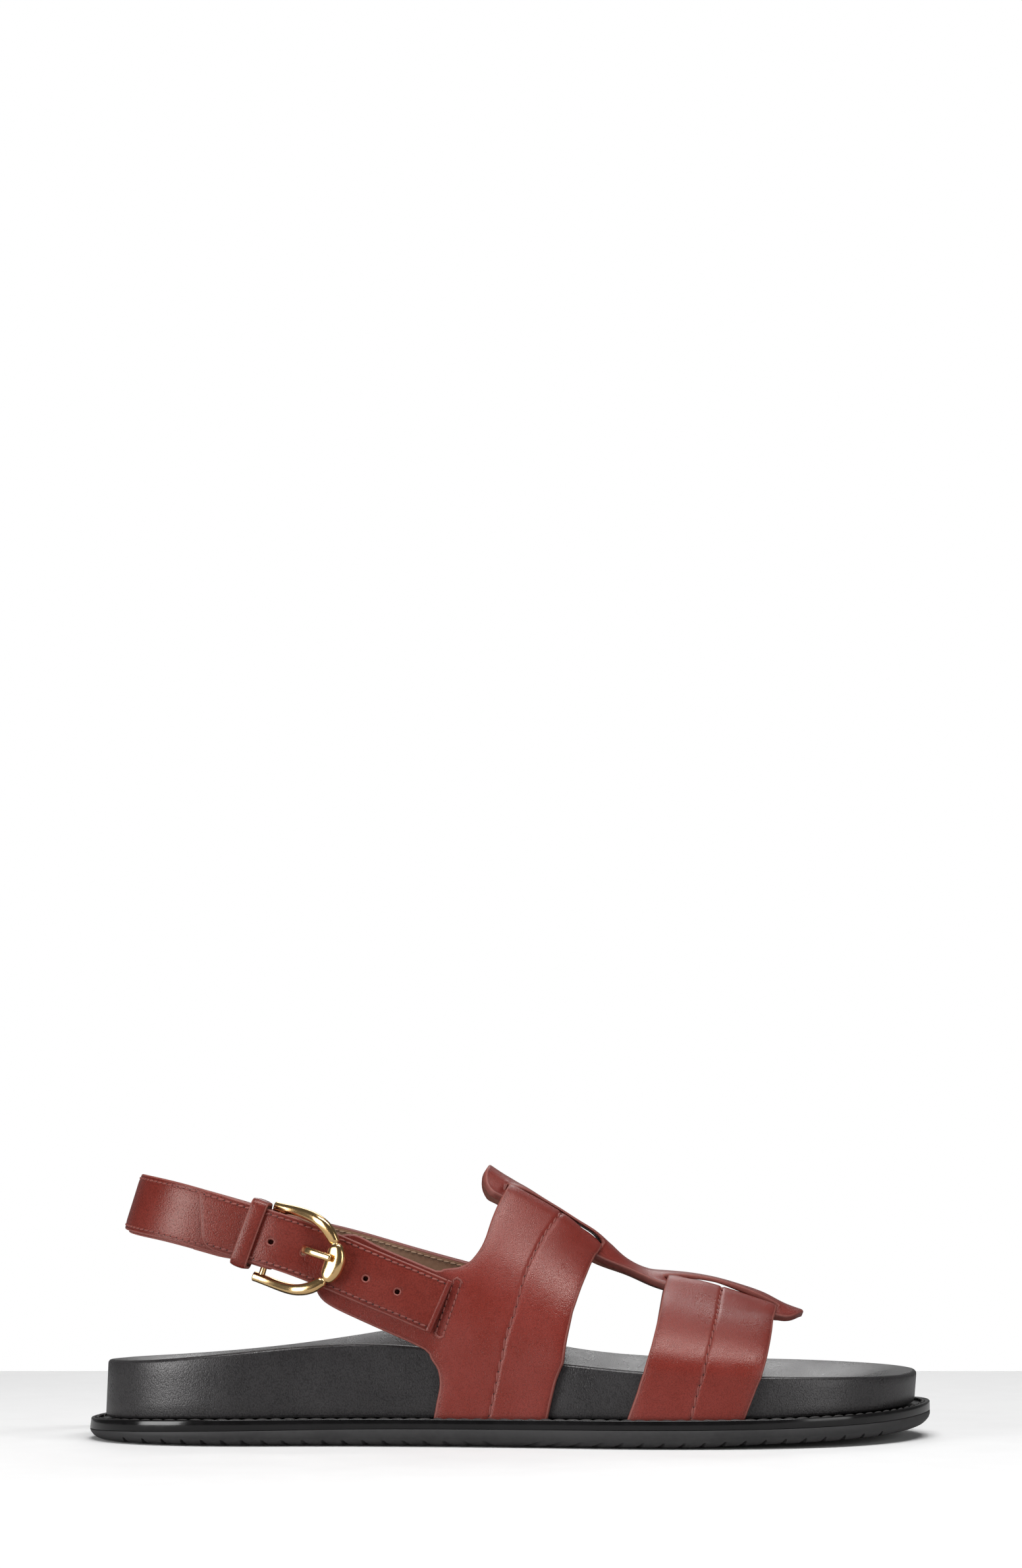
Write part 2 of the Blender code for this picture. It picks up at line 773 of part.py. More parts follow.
def make_outsole(parts, cutters):
    """Rubber plate with a bevelled foot and tread grooves along both edges."""
    full = outline_ring(sole_margin)
    inner = outline_ring(lambda x: sole_margin(x) - UNDERCUT)
    points, faces = ring_stack(
        [
            level(inner, sole_bottom),
            level(full, lambda x: sole_bottom(x) + UNDERCUT_HEIGHT),
            level(full, outsole_top),
        ]
    )
    outsole = add_part("outsole", points, faces, parts)
    add_boolean(outsole, "DIFFERENCE", tread_cutter(cutters))


def groove_slant(x):
    """Angle of a groove from straight across, steeper towards the middle of the foot."""
    least, extra, fade = GROOVE_SLANT
    return math.radians(least + extra * max(0.0, 1 - abs(x) / fade))


def tread_cutter(cutters):
    """Bars that cut the tread grooves in from each edge."""
    points = []
    faces = []
    full = outline_ring(sole_margin)
    edges = {-1: full[: SIDE_POINTS + 1], 1: np.vstack([full[SIDE_POINTS:], full[:1]])[::-1]}
    stations = np.arange(*GROOVE_SPAN, GROOVE_PITCH)
    for side, edge in edges.items():
        for x in stations[np.abs(stations) > GROOVE_MEETING]:
            y = float(np.interp(x, edge[:, 0], edge[:, 1]))
            slant = groove_slant(x)
            run = np.array([-np.sign(x) * math.sin(slant), -side * math.cos(slant), 0])
            across = np.array([run[1], -run[0], 0.0]) * (GROOVE_WIDTH / 2)
            reach = min(GROOVE_REACH, (abs(x) - GROOVE_MEETING / 2) / math.sin(slant))
            start = np.array([x, y, 0.0]) - run * GROOVE_OVERRUN
            end = np.array([x, y, 0.0]) + run * reach
            corners = np.array([start - across, start + across, end + across, end - across])
            low = [*(corners - (0, 0, GROOVE_OVERRUN))]
            high = [*(corners + (0, 0, sole_bottom(x) + GROOVE_DEPTH))]
            bar_points, bar_faces = section_stack([low, high])
            faces += [tuple(len(points) + k for k in face) for face in bar_faces]
            points += list(bar_points)
    cutter = as_cutter(add_mesh("tread_cutter", points, faces, cutters))
    face_outwards(cutter)
    return cutter


def make_welt(parts):
    """Full plate between outsole and footbed, its edge slightly rounded."""
    full = outline_ring(sole_margin)
    inner = outline_ring(lambda x: sole_margin(x) - WELT_EDGE)
    points, faces = ring_stack(
        [
            level(inner, lambda x: welt_top(x) - welt_thickness(x)),
            level(full, lambda x: welt_top(x) - welt_thickness(x) + WELT_EDGE),
            level(full, lambda x: welt_top(x) - WELT_EDGE),
            level(inner, welt_top),
        ]
    )
    add_part("welt", points, faces, parts)


def make_footbed(parts):
    """Cork-like body with a rounded rim and a dish that follows the arch."""
    base = closed_outline(FOOTBED_OUTLINE, SIDE_POINTS)
    spine_x = np.clip(base[:, 0], *SPINE)
    spine_y = [(footbed_half_width(x, 1) - footbed_half_width(x, -1)) / 2 for x in spine_x]
    inward = np.column_stack([spine_x, spine_y]) - base
    inward /= np.linalg.norm(inward, axis=1)[:, None]
    rim = np.array([blended_rim(x, y) for x, y in base])
    foot = np.array([welt_top(x) + GAP for x in base[:, 0]])
    lean = np.array([footbed_lean(x) for x in base[:, 0]])
    turn = RIM_RADIUS * (1 - math.sqrt(0.5))
    rings = [
        np.column_stack([base, foot]),
        np.column_stack([base + inward * lean[:, None], rim - RIM_RADIUS]),
        np.column_stack([base + inward * (lean + turn)[:, None], rim - turn]),
    ]
    for inset, share in DISH:
        flat = base + inward * (lean + inset)[:, None]
        floor = np.array([footbed_floor(x) for x in flat[:, 0]])
        rings.append(np.column_stack([flat, floor + (rim - floor) * share]))
    points, faces = ring_stack(rings)
    add_part("footbed", points, faces, parts)


def blended_rim(x, y):
    """Rim height at a point of the outline, shared between the sides near the centre plane."""
    share = min(max((y + 14.0) / 28.0, 0.0), 1.0)
    share = share * share * (3 - 2 * share)
    return rims[-1](x) * (1 - share) + rims[1](x) * share


# ---------------------------------------------------------------- upper


def crossing_offsets(x_middle):
    """Distances from the ridge at which a band climbs over a rail and drops through a slit."""
    half = strip_half_width(x_middle)
    over_rail = (half + RAIL_SHOULDER + 0.8, half + 0.6, half * 0.87)
    return (*over_rail, SLIT[1] * half, SLIT[0] * half - 0.3, SLIT[0] * half / 2)


def band_sheet(table, lateral_rows):
    """Rows of a band from the lateral welt over the ridge to the medial welt."""
    rear = straight(table, 1)
    front = straight(table, 2)
    x_middle = (rear(2) + front(2)) / 2
    offsets = crossing_offsets(x_middle)
    crossing = [-offset for offset in offsets] + [0.0] + list(offsets[::-1])
    turns = [(turn, None) for turn in lateral_rows]
    turns += [(None, offset) for offset in crossing]
    turns += [(turn, None) for turn in MEDIAL_ROWS]
    rows = []
    for turn, offset in turns:
        if turn is None:
            turn = turn_at_offset(x_middle, offset)
        row = []
        for c in range(BAND_COLUMNS + 1):
            x = rear(turn) + (front(turn) - rear(turn)) * c / BAND_COLUMNS
            here = turn
            if offset is not None:
                here = turn_at_offset(x, offset)
            point = last_point(x, here)
            normal = last_normal(x, here)
            row.append(point + normal * rail_top(point, normal))
        rows.append(row)
    return np.array(rows)


def tab_columns(root):
    """Columns of the side tab behind the band's own points at its root, root first."""
    columns = [root]
    for low_x, low_z, high_x, high_z, bulge in TAB:
        column_points = []
        for step in range(len(root)):
            share = step / (len(root) - 1)
            x = low_x + (high_x - low_x) * share - bulge * 4 * share * (1 - share)
            z = low_z + (high_z - low_z) * share
            column_points.append(last_point(x, turn_at_height(x, z)))
        columns.append(column_points)
    return columns


def make_upper(parts, cutters):
    """Instep band with its tab, forefoot band and centre strip, joined where they cross."""
    band = band_sheet(INSTEP_BAND, INSTEP_ROWS)
    count, across = band.shape[:2]
    faces = grid_faces(count, across)
    points = [point for row in band for point in row]
    first, last = (INSTEP_ROWS.index(turn) for turn in TAB_ROOT)
    root = [band[row][0] for row in range(first, last + 1)]
    columns = tab_columns(root)
    indices = [[row * across for row in range(first, last + 1)]]
    for column_points in columns[1:]:
        indices.append([len(points) + step for step in range(len(root))])
        points.extend(column_points)
    for ahead, behind in zip(indices, indices[1:]):
        for step in range(len(root) - 1):
            faces.append((behind[step], ahead[step], ahead[step + 1], behind[step + 1]))
    upper = add_part("upper", points, faces, parts)
    solidify(upper, BAND_WALL)

    forefoot = band_sheet(FOREFOOT_BAND, FOREFOOT_ROWS)
    faces = grid_faces(*forefoot.shape[:2])
    forefoot_band = add_mesh("forefoot_band", forefoot.reshape(-1, 3), faces, cutters)
    solidify(as_cutter(forefoot_band), BAND_WALL)

    strip, slits = strip_sheet()
    faces = [face[::-1] for face in grid_faces(*strip.shape[:2], left_out=slits)]
    centre_strip = add_mesh("centre_strip", strip.reshape(-1, 3), faces, cutters)
    solidify(as_cutter(centre_strip), STRIP_WALL)

    add_boolean(upper, "UNION", centre_strip)
    add_boolean(upper, "UNION", forefoot_band)


# ---------------------------------------------------------------- straps and buckle


def strap_up(tangent, tilt, lean):
    """Direction across a strap, square to its run."""
    tangent = unit(tangent)
    up = np.array([math.sin(tilt), lean, math.cos(tilt)])
    return unit(up - (up @ tangent) * tangent)


def run_of(curve, share):
    """Unit tangent of a curve at a share of its length."""
    return unit(curve(share + SHARE_STEP) - curve(share - SHARE_STEP))


def make_heel_strap(parts, cutters):
    """Band round the heel, with an eye and a slot at its buckle end."""
    curve = path(HEEL_STRAP)
    centre = path([row[:3] for row in HEEL_STRAP])
    half = HEEL_STRAP_WIDTH / 2
    rows = []
    for share in np.linspace(0, 1, HEEL_STRAP_STATIONS + 1):
        *middle, lean, extra = curve(share)
        up = strap_up(run_of(centre, share), HEEL_STRAP_TILT, lean)
        rows.append([middle - up * (half + extra), middle + up * half])
    rows = np.array(rows)
    faces = grid_faces(len(rows), 2)
    strap = add_part("heel_strap", rows.reshape(-1, 3), faces, parts)
    solidify(strap, HEEL_STRAP_WALL)
    axis = crossbar_axis()
    eye = cylinder("eye", EYE, axis, EYE_RADIUS, HEEL_STRAP_WIDTH - 0.02, 20, cutters)
    add_boolean(strap, "UNION", eye)
    bore = cylinder("eye_bore", EYE, axis, CROSSBAR_RADIUS + GAP, 2 * HEEL_STRAP_WIDTH, 16, cutters)
    add_boolean(strap, "DIFFERENCE", bore)
    centre = buckle_point(0, PRONG_ACROSS, 0)
    add_boolean(strap, "DIFFERENCE", box("eye_slot", centre, buckle_axes(), EYE_SLOT, cutters))


def make_buckle_strap(parts, cutters):
    """Strap from the slit in the band, under the knuckle and through the keeper to its tip."""
    points = np.array([row[:3] for row in BUCKLE_STRAP])
    chord = np.linalg.norm(np.diff(points, axis=0), axis=1)
    length = chord.sum()
    knots = np.concatenate([[0], np.cumsum(chord)]) / length
    centre = spline(knots, points)
    half = BUCKLE_STRAP_WIDTH / 2
    rows = []
    for step in range(BUCKLE_STRAP_STATIONS + 1):
        row = []
        for side in BUCKLE_STRAP_SHARES:
            drop = max(0.0, TIP_CORNER - half - side * half)
            corner = TIP_CORNER - math.sqrt(TIP_CORNER**2 - drop**2)
            short = TIP_SLANT * (1 - side) / 2 + corner
            share = step / BUCKLE_STRAP_STATIONS * (1 - short / length)
            tilt = math.radians(np.interp(share, knots, [entry[3] for entry in BUCKLE_STRAP]))
            lean = np.interp(share, knots, [entry[4] for entry in BUCKLE_STRAP])
            up = strap_up(run_of(centre, share), tilt, lean)
            row.append(centre(share) + up * side * half)
        rows.append(row)
    rows = np.array(rows)
    faces = grid_faces(len(rows), len(BUCKLE_STRAP_SHARES))
    strap = add_part("buckle_strap", rows.reshape(-1, 3), faces, parts)
    solidify(strap, BUCKLE_STRAP_WALL)
    centre = buckle_point(PRONG_HOLE_ALONG, PRONG_ACROSS, 0)
    add_boolean(strap, "DIFFERENCE", box("prong_hole", centre, buckle_axes(), PRONG_HOLE, cutters))


def crossbar_axis():
    return np.array([math.sin(HEEL_STRAP_TILT), 0.0, math.cos(HEEL_STRAP_TILT)])


def crossbar_centre():
    """Middle of the crossbar, a little lower on its own line than the strap's eye."""
    return np.array(EYE) - crossbar_axis() * BUCKLE_DROP


def buckle_axes():
    """Along the buckle towards its knuckle, up across the strap, and outwards."""
    along = unit(np.array(KNUCKLE) - crossbar_centre())
    up = crossbar_axis()
    up = unit(up - (up @ along) * along)
    return along, up, np.cross(along, up)


def buckle_point(along, across, outward):
    axes = buckle_axes()
    return crossbar_centre() + axes[0] * along + axes[1] * across + axes[2] * outward


def make_buckle_frame(parts, cutters):
    """Horseshoe with a barrel knuckle, and the crossbar between its arms."""
    upper_arm = np.array(FRAME)
    lower_arm = upper_arm[-2::-1] * (1, -1, 1, 1, 1)
    rows = np.vstack([upper_arm, lower_arm])
    chord = np.linalg.norm(np.diff(rows[:, :2], axis=0), axis=1)
    knots = np.concatenate([[0], np.cumsum(chord)])
    knots /= knots[-1]
    curve = spline(knots, rows[:, :2])
    bow = spline(knots, rows[:, 4])
    between = (knots[2:-3] + knots[3:-2]) / 2
    sections = []
    for share in sorted([*knots, *between]):
        run = run_of(curve, share)
        aside = np.array([-run[1], run[0]]) * np.interp(share, knots, rows[:, 2])
        depth = np.interp(share, knots, rows[:, 3])
        section = []
        for side in range(FRAME_SIDES):
            angle = 2 * math.pi * (side + 0.5) / FRAME_SIDES
            along, across = curve(share) + aside * math.cos(angle)
            section.append(buckle_point(along, across, bow(share) + depth * math.sin(angle)))
        sections.append(section)
    points, faces = section_stack(sections)
    frame = add_part("buckle_frame", points, faces, parts)
    face_outwards(frame)
    length = 2 * FRAME[1][1] - 0.4
    bar = cylinder(
        "crossbar", crossbar_centre(), crossbar_axis(), CROSSBAR_RADIUS, length, 12, cutters
    )
    add_boolean(frame, "UNION", bar)


def make_buckle_prong(parts):
    """Flat bar hooked round the crossbar, through the strap and out onto the knuckle."""
    hook = []
    for angle in np.radians(np.linspace(*HOOK_TURN, 9)):
        hook.append((HOOK_RADIUS * math.cos(angle), HOOK_RADIUS * math.sin(angle), HOOK_HALF_WALL))
    rows = np.array([*hook, *PRONG])
    chord = np.linalg.norm(np.diff(rows[:, :2], axis=0), axis=1)
    knots = np.concatenate([[0], np.cumsum(chord)])
    curve = spline(knots / knots[-1], rows[:, :2])
    half_wall = spline(knots / knots[-1], rows[:, 2])
    sections = []
    for share in np.linspace(0, 1, PRONG_STATIONS + 1):
        run = run_of(curve, share)
        normal = np.array([-run[1], run[0]]) * half_wall(share)
        section = []
        for out, aside in ((1, 1), (1, -1), (-1, -1), (-1, 1)):
            along, outward = curve(share) + normal * out
            across = PRONG_ACROSS + aside * PRONG_WIDTH / 2
            section.append(buckle_point(along, across, outward))
        sections.append(section)
    points, faces = section_stack(sections)
    face_outwards(add_part("buckle_prong", points, faces, parts))


def make_keeper(parts):
    """Closed loop round the heel strap and the buckle strap."""
    up = np.array([math.sin(KEEPER_TILT), 0.0, math.cos(KEEPER_TILT)])
    run = unit(np.array([-math.cos(KEEPER_TILT), KEEPER_TURN, math.sin(KEEPER_TILT)]))
    outward = unit(np.cross(run, up))
    loop = []
    for quarter, (out, high) in enumerate(((1, 1), (-1, 1), (-1, -1), (1, -1))):
        for step in range(KEEPER_CORNER_STEPS + 1):
            angle = math.pi / 2 * (quarter + step / KEEPER_CORNER_STEPS)
            depth = out * (KEEPER_HALF_DEPTH - KEEPER_CORNER) + KEEPER_CORNER * math.cos(angle)
            height = high * (KEEPER_HALF_HEIGHT - KEEPER_CORNER) + KEEPER_CORNER * math.sin(angle)
            loop.append(outward * depth + up * height)
    rows = []
    for point in loop:
        middle = np.array(KEEPER_CENTRE) + point
        rows.append([middle - run * KEEPER_BAND / 2, middle + run * KEEPER_BAND / 2])
    rows = np.array(rows)
    faces = grid_faces(len(rows), 2, closed=True)
    keeper = add_part("keeper_loop", rows.reshape(-1, 3), faces, parts)
    face_outwards(keeper)
    modifier = solidify(keeper, KEEPER_WALL)
    modifier.offset = 0.0


def main():
    clear_scene()
    parts = new_collection("fisherman_sandal")
    cutters = new_collection("cutters")
    make_outsole(parts, cutters)
    make_welt(parts)
    make_footbed(parts)
    make_upper(parts, cutters)
    make_heel_strap(parts, cutters)
    make_buckle_strap(parts, cutters)
    make_keeper(parts)
    make_buckle_frame(parts, cutters)
    make_buckle_prong(parts)


main()
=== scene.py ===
"""Dresses the fisherman sandal: its woven leather upper, heel strap and buckle, covered footbed
and stitched rubber sole.

Shapes are worked out in millimetres in the sandal's own frame: +X from heel to toe, +Y to the
medial side, +Z up, origin on the floor under the middle of the sole. They become metres in
new_piece.
"""

import itertools
import math

import bmesh
import bpy
import numpy as np
from mathutils import Matrix


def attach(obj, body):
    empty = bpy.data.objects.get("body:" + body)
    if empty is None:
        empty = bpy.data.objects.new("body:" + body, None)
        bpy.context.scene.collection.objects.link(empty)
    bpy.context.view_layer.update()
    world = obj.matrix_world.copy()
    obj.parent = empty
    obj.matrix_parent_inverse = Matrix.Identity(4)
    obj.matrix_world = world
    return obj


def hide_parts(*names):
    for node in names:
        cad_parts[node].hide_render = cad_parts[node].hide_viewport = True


MM = 0.001
BODY = "root"

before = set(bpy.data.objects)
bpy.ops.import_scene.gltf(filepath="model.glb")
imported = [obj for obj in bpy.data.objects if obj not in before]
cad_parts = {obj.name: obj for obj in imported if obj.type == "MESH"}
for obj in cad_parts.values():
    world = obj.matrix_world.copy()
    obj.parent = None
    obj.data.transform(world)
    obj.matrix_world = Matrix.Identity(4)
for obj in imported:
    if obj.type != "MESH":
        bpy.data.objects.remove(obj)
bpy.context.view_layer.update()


# ---------------------------------------------------------------- the sandal's measurements

# Footbed seen from above, anticlockwise from the back of the heel; the toe tip is row 10.
FOOTBED_OUTLINE = (
    (-126.1, 0.0),
    (-118.0, -19.8),
    (-98.3, -30.2),
    (-60.0, -31.8),
    (-25.0, -33.6),
    (10.0, -38.3),
    (40.0, -43.0),
    (70.0, -42.6),
    (98.5, -33.8),
    (118.3, -14.5),
    (126.8, 9.0),
    (122.2, 27.0),
    (103.4, 40.2),
    (75.0, 45.4),
    (45.0, 43.0),
    (10.0, 36.0),
    (-25.0, 31.6),
    (-60.0, 30.6),
    (-98.3, 29.6),
    (-118.0, 19.4),
)
TOE_ROW = 10
OUTLINE_POINTS = 150

SOLE = (
    # x, underside, welt top, margin, plate
    (-131.5, 0.0, 5.9, 5.0, 3.3),
    (-117.0, 0.0, 6.8, 4.8, 3.4),
    (-90.0, 0.0, 7.5, 4.6, 3.4),
    (-40.0, 0.0, 7.9, 4.5, 3.1),
    (0.0, 0.0, 8.0, 4.5, 3.0),
    (50.0, 0.0, 8.2, 4.5, 3.0),
    (75.0, 0.8, 8.4, 4.5, 3.0),
    (100.0, 1.5, 8.9, 4.6, 3.0),
    (118.0, 2.3, 9.5, 4.7, 3.0),
    (131.7, 4.0, 10.6, 4.8, 3.0),
)
SOLE_GAP = 0.3
GROOVE_PITCH = 6.1
GROOVE_REACH = 17.0
GROOVE_SPAN = (-118.5, 118.0)
GROOVE_SLANT = (36.0, 26.0, 45.0)
GROOVE_MEETING = 8.0
# Half of a groove's section, as distance across and height over the underside, and the ends of
# its cutter, which is one metre long inside the sole until it is scaled to a groove's length.
GROOVE_PROFILE = ((1.2, -1.5), (1.1, 0.0), (0.75, 0.45), (0.5, 0.95), (0.32, 1.4), (0.0, 1.6))
GROOVE_ENDS = (-350.0, 1000.0)
# Rings of the sole's edges: inset, and height over the underside or drop from the top of each.
SOLE_FOOT = ((2.6, 0.0), (2.0, 0.1), (1.1, 0.75), (0.35, 1.6), (0.0, 2.5))
SOLE_SHOULDER = ((0.0, 0.14), (0.08, 0.04), (0.4, 0.02))
WELT_FOOT = ((0.6, 0.0), (0.3, 0.02), (0.1, 0.08), (0.02, 0.25))
WELT_SHOULDER = ((0.0, 0.45), (0.06, 0.22), (0.22, 0.06), (0.5, 0.0))
WELT_CHANNEL = ((1.25, 0.02), (1.5, 0.18), (1.7, 0.5), (2.2, 0.62), (3.6, 0.6))
# The welt's top under the footbed, and its stitches in the channel: inset and drop.
WELT_MIDDLE = (1.5, 0.55)
WELT_STITCHES = (2.15, 0.3)
# How far the welt's shoulder steps back behind the toe, with where that ends and its fade.
SHOULDER_SETBACK = (0.3, 90.0, 30.0)

FOOTBED = (
    # x, lateral rim, medial rim, floor, lean of the wall
    (-126.0, 23.9, 23.4, 19.5, 0.5),
    (-112.0, 24.7, 23.5, 17.5, 0.5),
    (-75.0, 28.2, 26.0, 18.2, 0.5),
    (-43.0, 30.0, 30.5, 21.0, 0.5),
    (-25.0, 29.0, 32.6, 21.4, 0.5),
    (0.0, 26.2, 29.2, 19.8, 0.5),
    (20.0, 24.0, 25.0, 18.0, 0.5),
    (44.0, 22.0, 22.2, 16.4, 0.5),
    (90.0, 20.4, 21.0, 15.4, 0.4),
    (127.0, 19.2, 20.0, 17.4, -0.7),
)
RIM_RADIUS = 1.2
# Distance from the centre plane over which one side's rim height becomes the other's.
RIM_BLEND = 14.0
# Rings at the foot of the footbed's wall: inset, and height over the welt.
FOOTBED_FOOT = ((0.5, 0.05), (0.15, 0.35), (0.0, 0.9))
DISH = ((1.2, 1.0), (4.0, 0.89), (8.0, 0.7), (13.0, 0.42), (18.0, 0.16), (23.0, 0.0))
DISH_INSETS = (1.2, 1.8, 2.6, 3.6, 4.8, 6.6, 9.0, 11.0, 13.0, 15.0, 17.0, 20.0, 23.0)
SPINE = (-97.0, 86.0)

LAST = (
    # x, spring height, ridge height, ridge side, conic weight, tuck
    (-62.0, 34.0, 107.0, 0.0, 0.68, 2.2),
    (-30.0, 31.0, 93.0, 0.2, 0.68, 0.3),
    (-8.0, 28.0, 80.0, 0.4, 0.66, 0.0),
    (10.0, 25.6, 68.4, 0.8, 0.62, 0.0),
    (28.0, 23.4, 56.8, 1.4, 0.56, 0.0),
    (46.0, 21.8, 47.9, 2.1, 0.50, 0.0),
    (64.0, 20.9, 44.0, 2.8, 0.48, 0.0),
    (81.0, 20.3, 38.6, 3.5, 0.48, 0.0),
    (95.0, 20.0, 34.4, 4.0, 0.48, 0.0),
)

# Edges of the bands round the last, with the seam that joins each band's two halves. A turn is 0
# at the lateral welt, 1 at the lateral rim, 2 on the ridge, 3 at the medial rim, 4 at the welt.
INSTEP_BAND = (
    # turn, rear x, front x
    (0.00, -23.2, 11.2),
    (0.20, -22.4, 11.9),
    (0.48, -21.4, 13.0),
    (0.66, -22.0, 13.8),
    (0.868, -24.6, 15.1),
    (0.98, -23.6, 15.9),
    (1.11, -22.5, 16.8),
    (1.256, -21.6, 18.4),
    (1.29, -16.2, 18.8),
    (1.33, -12.6, 19.5),
    (1.43, -8.6, 21.2),
    (1.55, -6.4, 23.2),
    (1.84, -2.2, 26.9),
    (2.00, -0.8, 28.4),
    (2.16, -1.6, 27.2),
    (2.45, -4.6, 23.4),
    (2.70, -9.4, 20.6),
    (3.00, -15.6, 17.8),
    (3.50, -19.4, 15.6),
    (4.00, -20.4, 13.8),
)
INSTEP_SEAM = (
    # turn, x
    (0.0, -6.6),
    (0.43, -4.7),
    (1.02, -2.1),
    (1.22, 1.7),
    (1.35, 3.8),
    (1.54, 7.8),
    (1.80, 12.8),
    (2.00, 15.6),
    (2.20, 13.6),
    (2.46, 8.2),
    (2.65, 3.8),
    (3.00, -1.0),
    (3.57, -3.2),
    (4.00, -4.8),
)
FOREFOOT_BAND = (
    # turn, rear x, front x
    (0.00, 35.0, 70.0),
    (0.50, 37.6, 72.4),
    (1.00, 39.9, 75.0),
    (1.25, 42.5, 77.2),
    (1.55, 45.6, 79.8),
    (2.00, 48.8, 82.6),
    (2.45, 48.0, 81.4),
    (2.75, 46.9, 79.8),
    (3.00, 45.4, 78.0),
    (3.50, 43.2, 75.2),
    (4.00, 41.0, 72.8),
)
FOREFOOT_SEAM = (
    # turn, x
    (0.0, 53.7),
    (0.9, 57.0),
    (1.19, 58.9),
    (1.33, 60.4),
    (1.54, 62.8),
    (1.87, 64.8),
    (2.13, 65.2),
    (2.46, 64.2),
    (2.75, 62.4),
    (3.00, 60.6),
    (3.50, 58.2),
    (4.00, 55.8),
)
BAND_WALL = 2.2
TAB_ROOT = (0.868, 1.256)
SLIT_BOX = (
    # x and z round the box stitch beside the slit
    (-22.6, 33.4),
    (-17.2, 49.0),
    (-16.4, 49.4),
    (-15.4, 48.9),
    (-15.0, 48.3),
    (-20.4, 32.4),
    (-21.3, 32.1),
    (-22.3, 32.7),
    (-22.6, 33.4),
)
TAB = (
    # lower x, lower z, upper x, upper z, bulge of the middle
    (-30.0, 30.3, -27.2, 53.8, 0.0),
    (-38.0, 33.7, -34.5, 56.8, 0.0),
    (-46.6, 37.4, -41.5, 59.9, 0.0),
    (-53.0, 40.3, -46.6, 62.4, 0.0),
    (-57.0, 43.0, -50.6, 62.6, 0.9),
    (-58.8, 46.1, -53.4, 60.8, 1.6),
)

STRIP = (
    # x, half width, lift of its middle, roll, share of the full thickness in the arches
    (-9.5, 15.0, 1.9, 24.0, 1.0),
    (-5.9, 15.2, 1.8, 26.0, 1.0),
    (-1.9, 15.2, 1.9, 29.0, 1.0),
    (2.7, 15.2, 2.2, 31.0, 0.55),
    (7.6, 15.0, 2.3, 32.0, 0.45),
    (13.1, 14.8, 2.5, 32.0, 0.42),
    (19.2, 14.4, 2.6, 31.0, 0.42),
    (23.4, 13.9, 2.7, 29.0, 0.42),
    (28.8, 12.4, 1.8, 25.0, 0.75),
    (33.7, 10.4, 0.5, 23.0, 1.0),
    (38.1, 9.4, 0.1, 24.0, 1.0),
    (43.3, 10.6, 0.5, 30.0, 1.0),
    (47.1, 12.4, 1.4, 38.0, 1.0),
    (52.9, 13.8, 2.3, 46.0, 0.72),
    (62.2, 14.2, 2.6, 50.0, 0.6),
    (71.3, 14.2, 2.6, 48.0, 0.78),
    (78.5, 13.9, 2.4, 42.0, 1.0),
    (83.6, 13.4, 1.5, 38.0, 1.0),
    (90.1, 13.0, 1.0, 36.0, 1.0),
)
STRIP_WALL = 2.2
MEDIAL_ROLL = 0.65
FOLD_LIFT = (
    # x, how much higher the bands fold over the strip's lateral edge
    (-6.0, 0.9),
    (6.9, 1.5),
    (15.4, 1.7),
    (22.1, 0.9),
    (28.0, 0.2),
    (34.0, 0.0),
    (44.0, 0.0),
    (52.0, 0.1),
    (58.0, 0.05),
    (66.0, -0.45),
    (74.0, -0.5),
    (82.0, -0.2),
)
# How far a band's fold over the strip fades beyond it, on its lateral and its medial side.
FOLD_RAMP = 21.0
MEDIAL_RAMP = 9.0
# Where a band has climbed out of the slit, as distance inside the rail, and how far that takes.
CLIMB = (0.4, 2.2)
# Share of a sunken fold that the band keeps inside the slits.
SUNK_SHARE = 0.6
TONGUE_START = -3.0
TONGUE_CUT = 1.0
TONGUE_CORNER = 4.2
TOE_ROUND = (80.0, 2.1)
# Edges of the slits, as shares of the strip's half width, and the same for the strip's mound: its
# foot and its run.
SLIT = (0.6, 0.72)
MOUND = (0.95, 0.5)
BAND_FADE = 5.0
# Turn along which the bands' edges are taken under the strip.
STRIP_TURN = 1.86

HEEL_STRAP = (
    # x, y, z, lean, extra width below
    (-73.0, -25.4, 61.2, 0.0, 0.1),
    (-84.0, -24.2, 64.4, 0.0, 0.1),
    (-94.5, -22.4, 67.6, 0.0, 0.4),
    (-105.0, -18.2, 70.3, 0.0, 0.6),
    (-112.6, -10.6, 71.7, 0.0, 0.7),
    (-115.5, 0.0, 71.9, 0.0, 0.4),
    (-112.6, 10.6, 70.6, 0.0, 0.0),
    (-105.0, 18.2, 68.7, 0.0, 0.0),
    (-94.5, 22.4, 65.8, 0.0, 0.0),
    (-84.0, 24.4, 62.7, 0.0, 0.0),
    (-70.0, 26.0, 58.7, -0.02, 0.0),
    (-55.0, 26.9, 55.1, -0.06, 0.0),
    (-38.5, 27.1, 50.4, -0.11, 0.0),
    (-27.0, 27.1, 47.1, -0.14, 0.0),
    (-14.5, 27.5, 43.7, -0.17, 0.0),
    (-4.0, 28.4, 40.8, -0.19, 0.0),
)
HEEL_STRAP_TILT = math.radians(17)
HEEL_STRAP_WIDTH = 17.4
LINING_WALL = 1.4
OUTER_WALL = 1.6
FOLD_LENGTH = 22.0
# Extra width of the strap's lower edge, with where it starts in the folded layer and ends in the
# lining: distance along the strap and fade.
LOWER_LAYER = 0.7
LOWER_START = (7.0, 8.0)
LOWER_END = (96.0, 12.0)
# The fold's throat: distance from the crossbar and half the opening.
FOLD_THROAT = ((3.6, 0.25), (2.4, 0.7))
PRONG_SLOT = 3.7

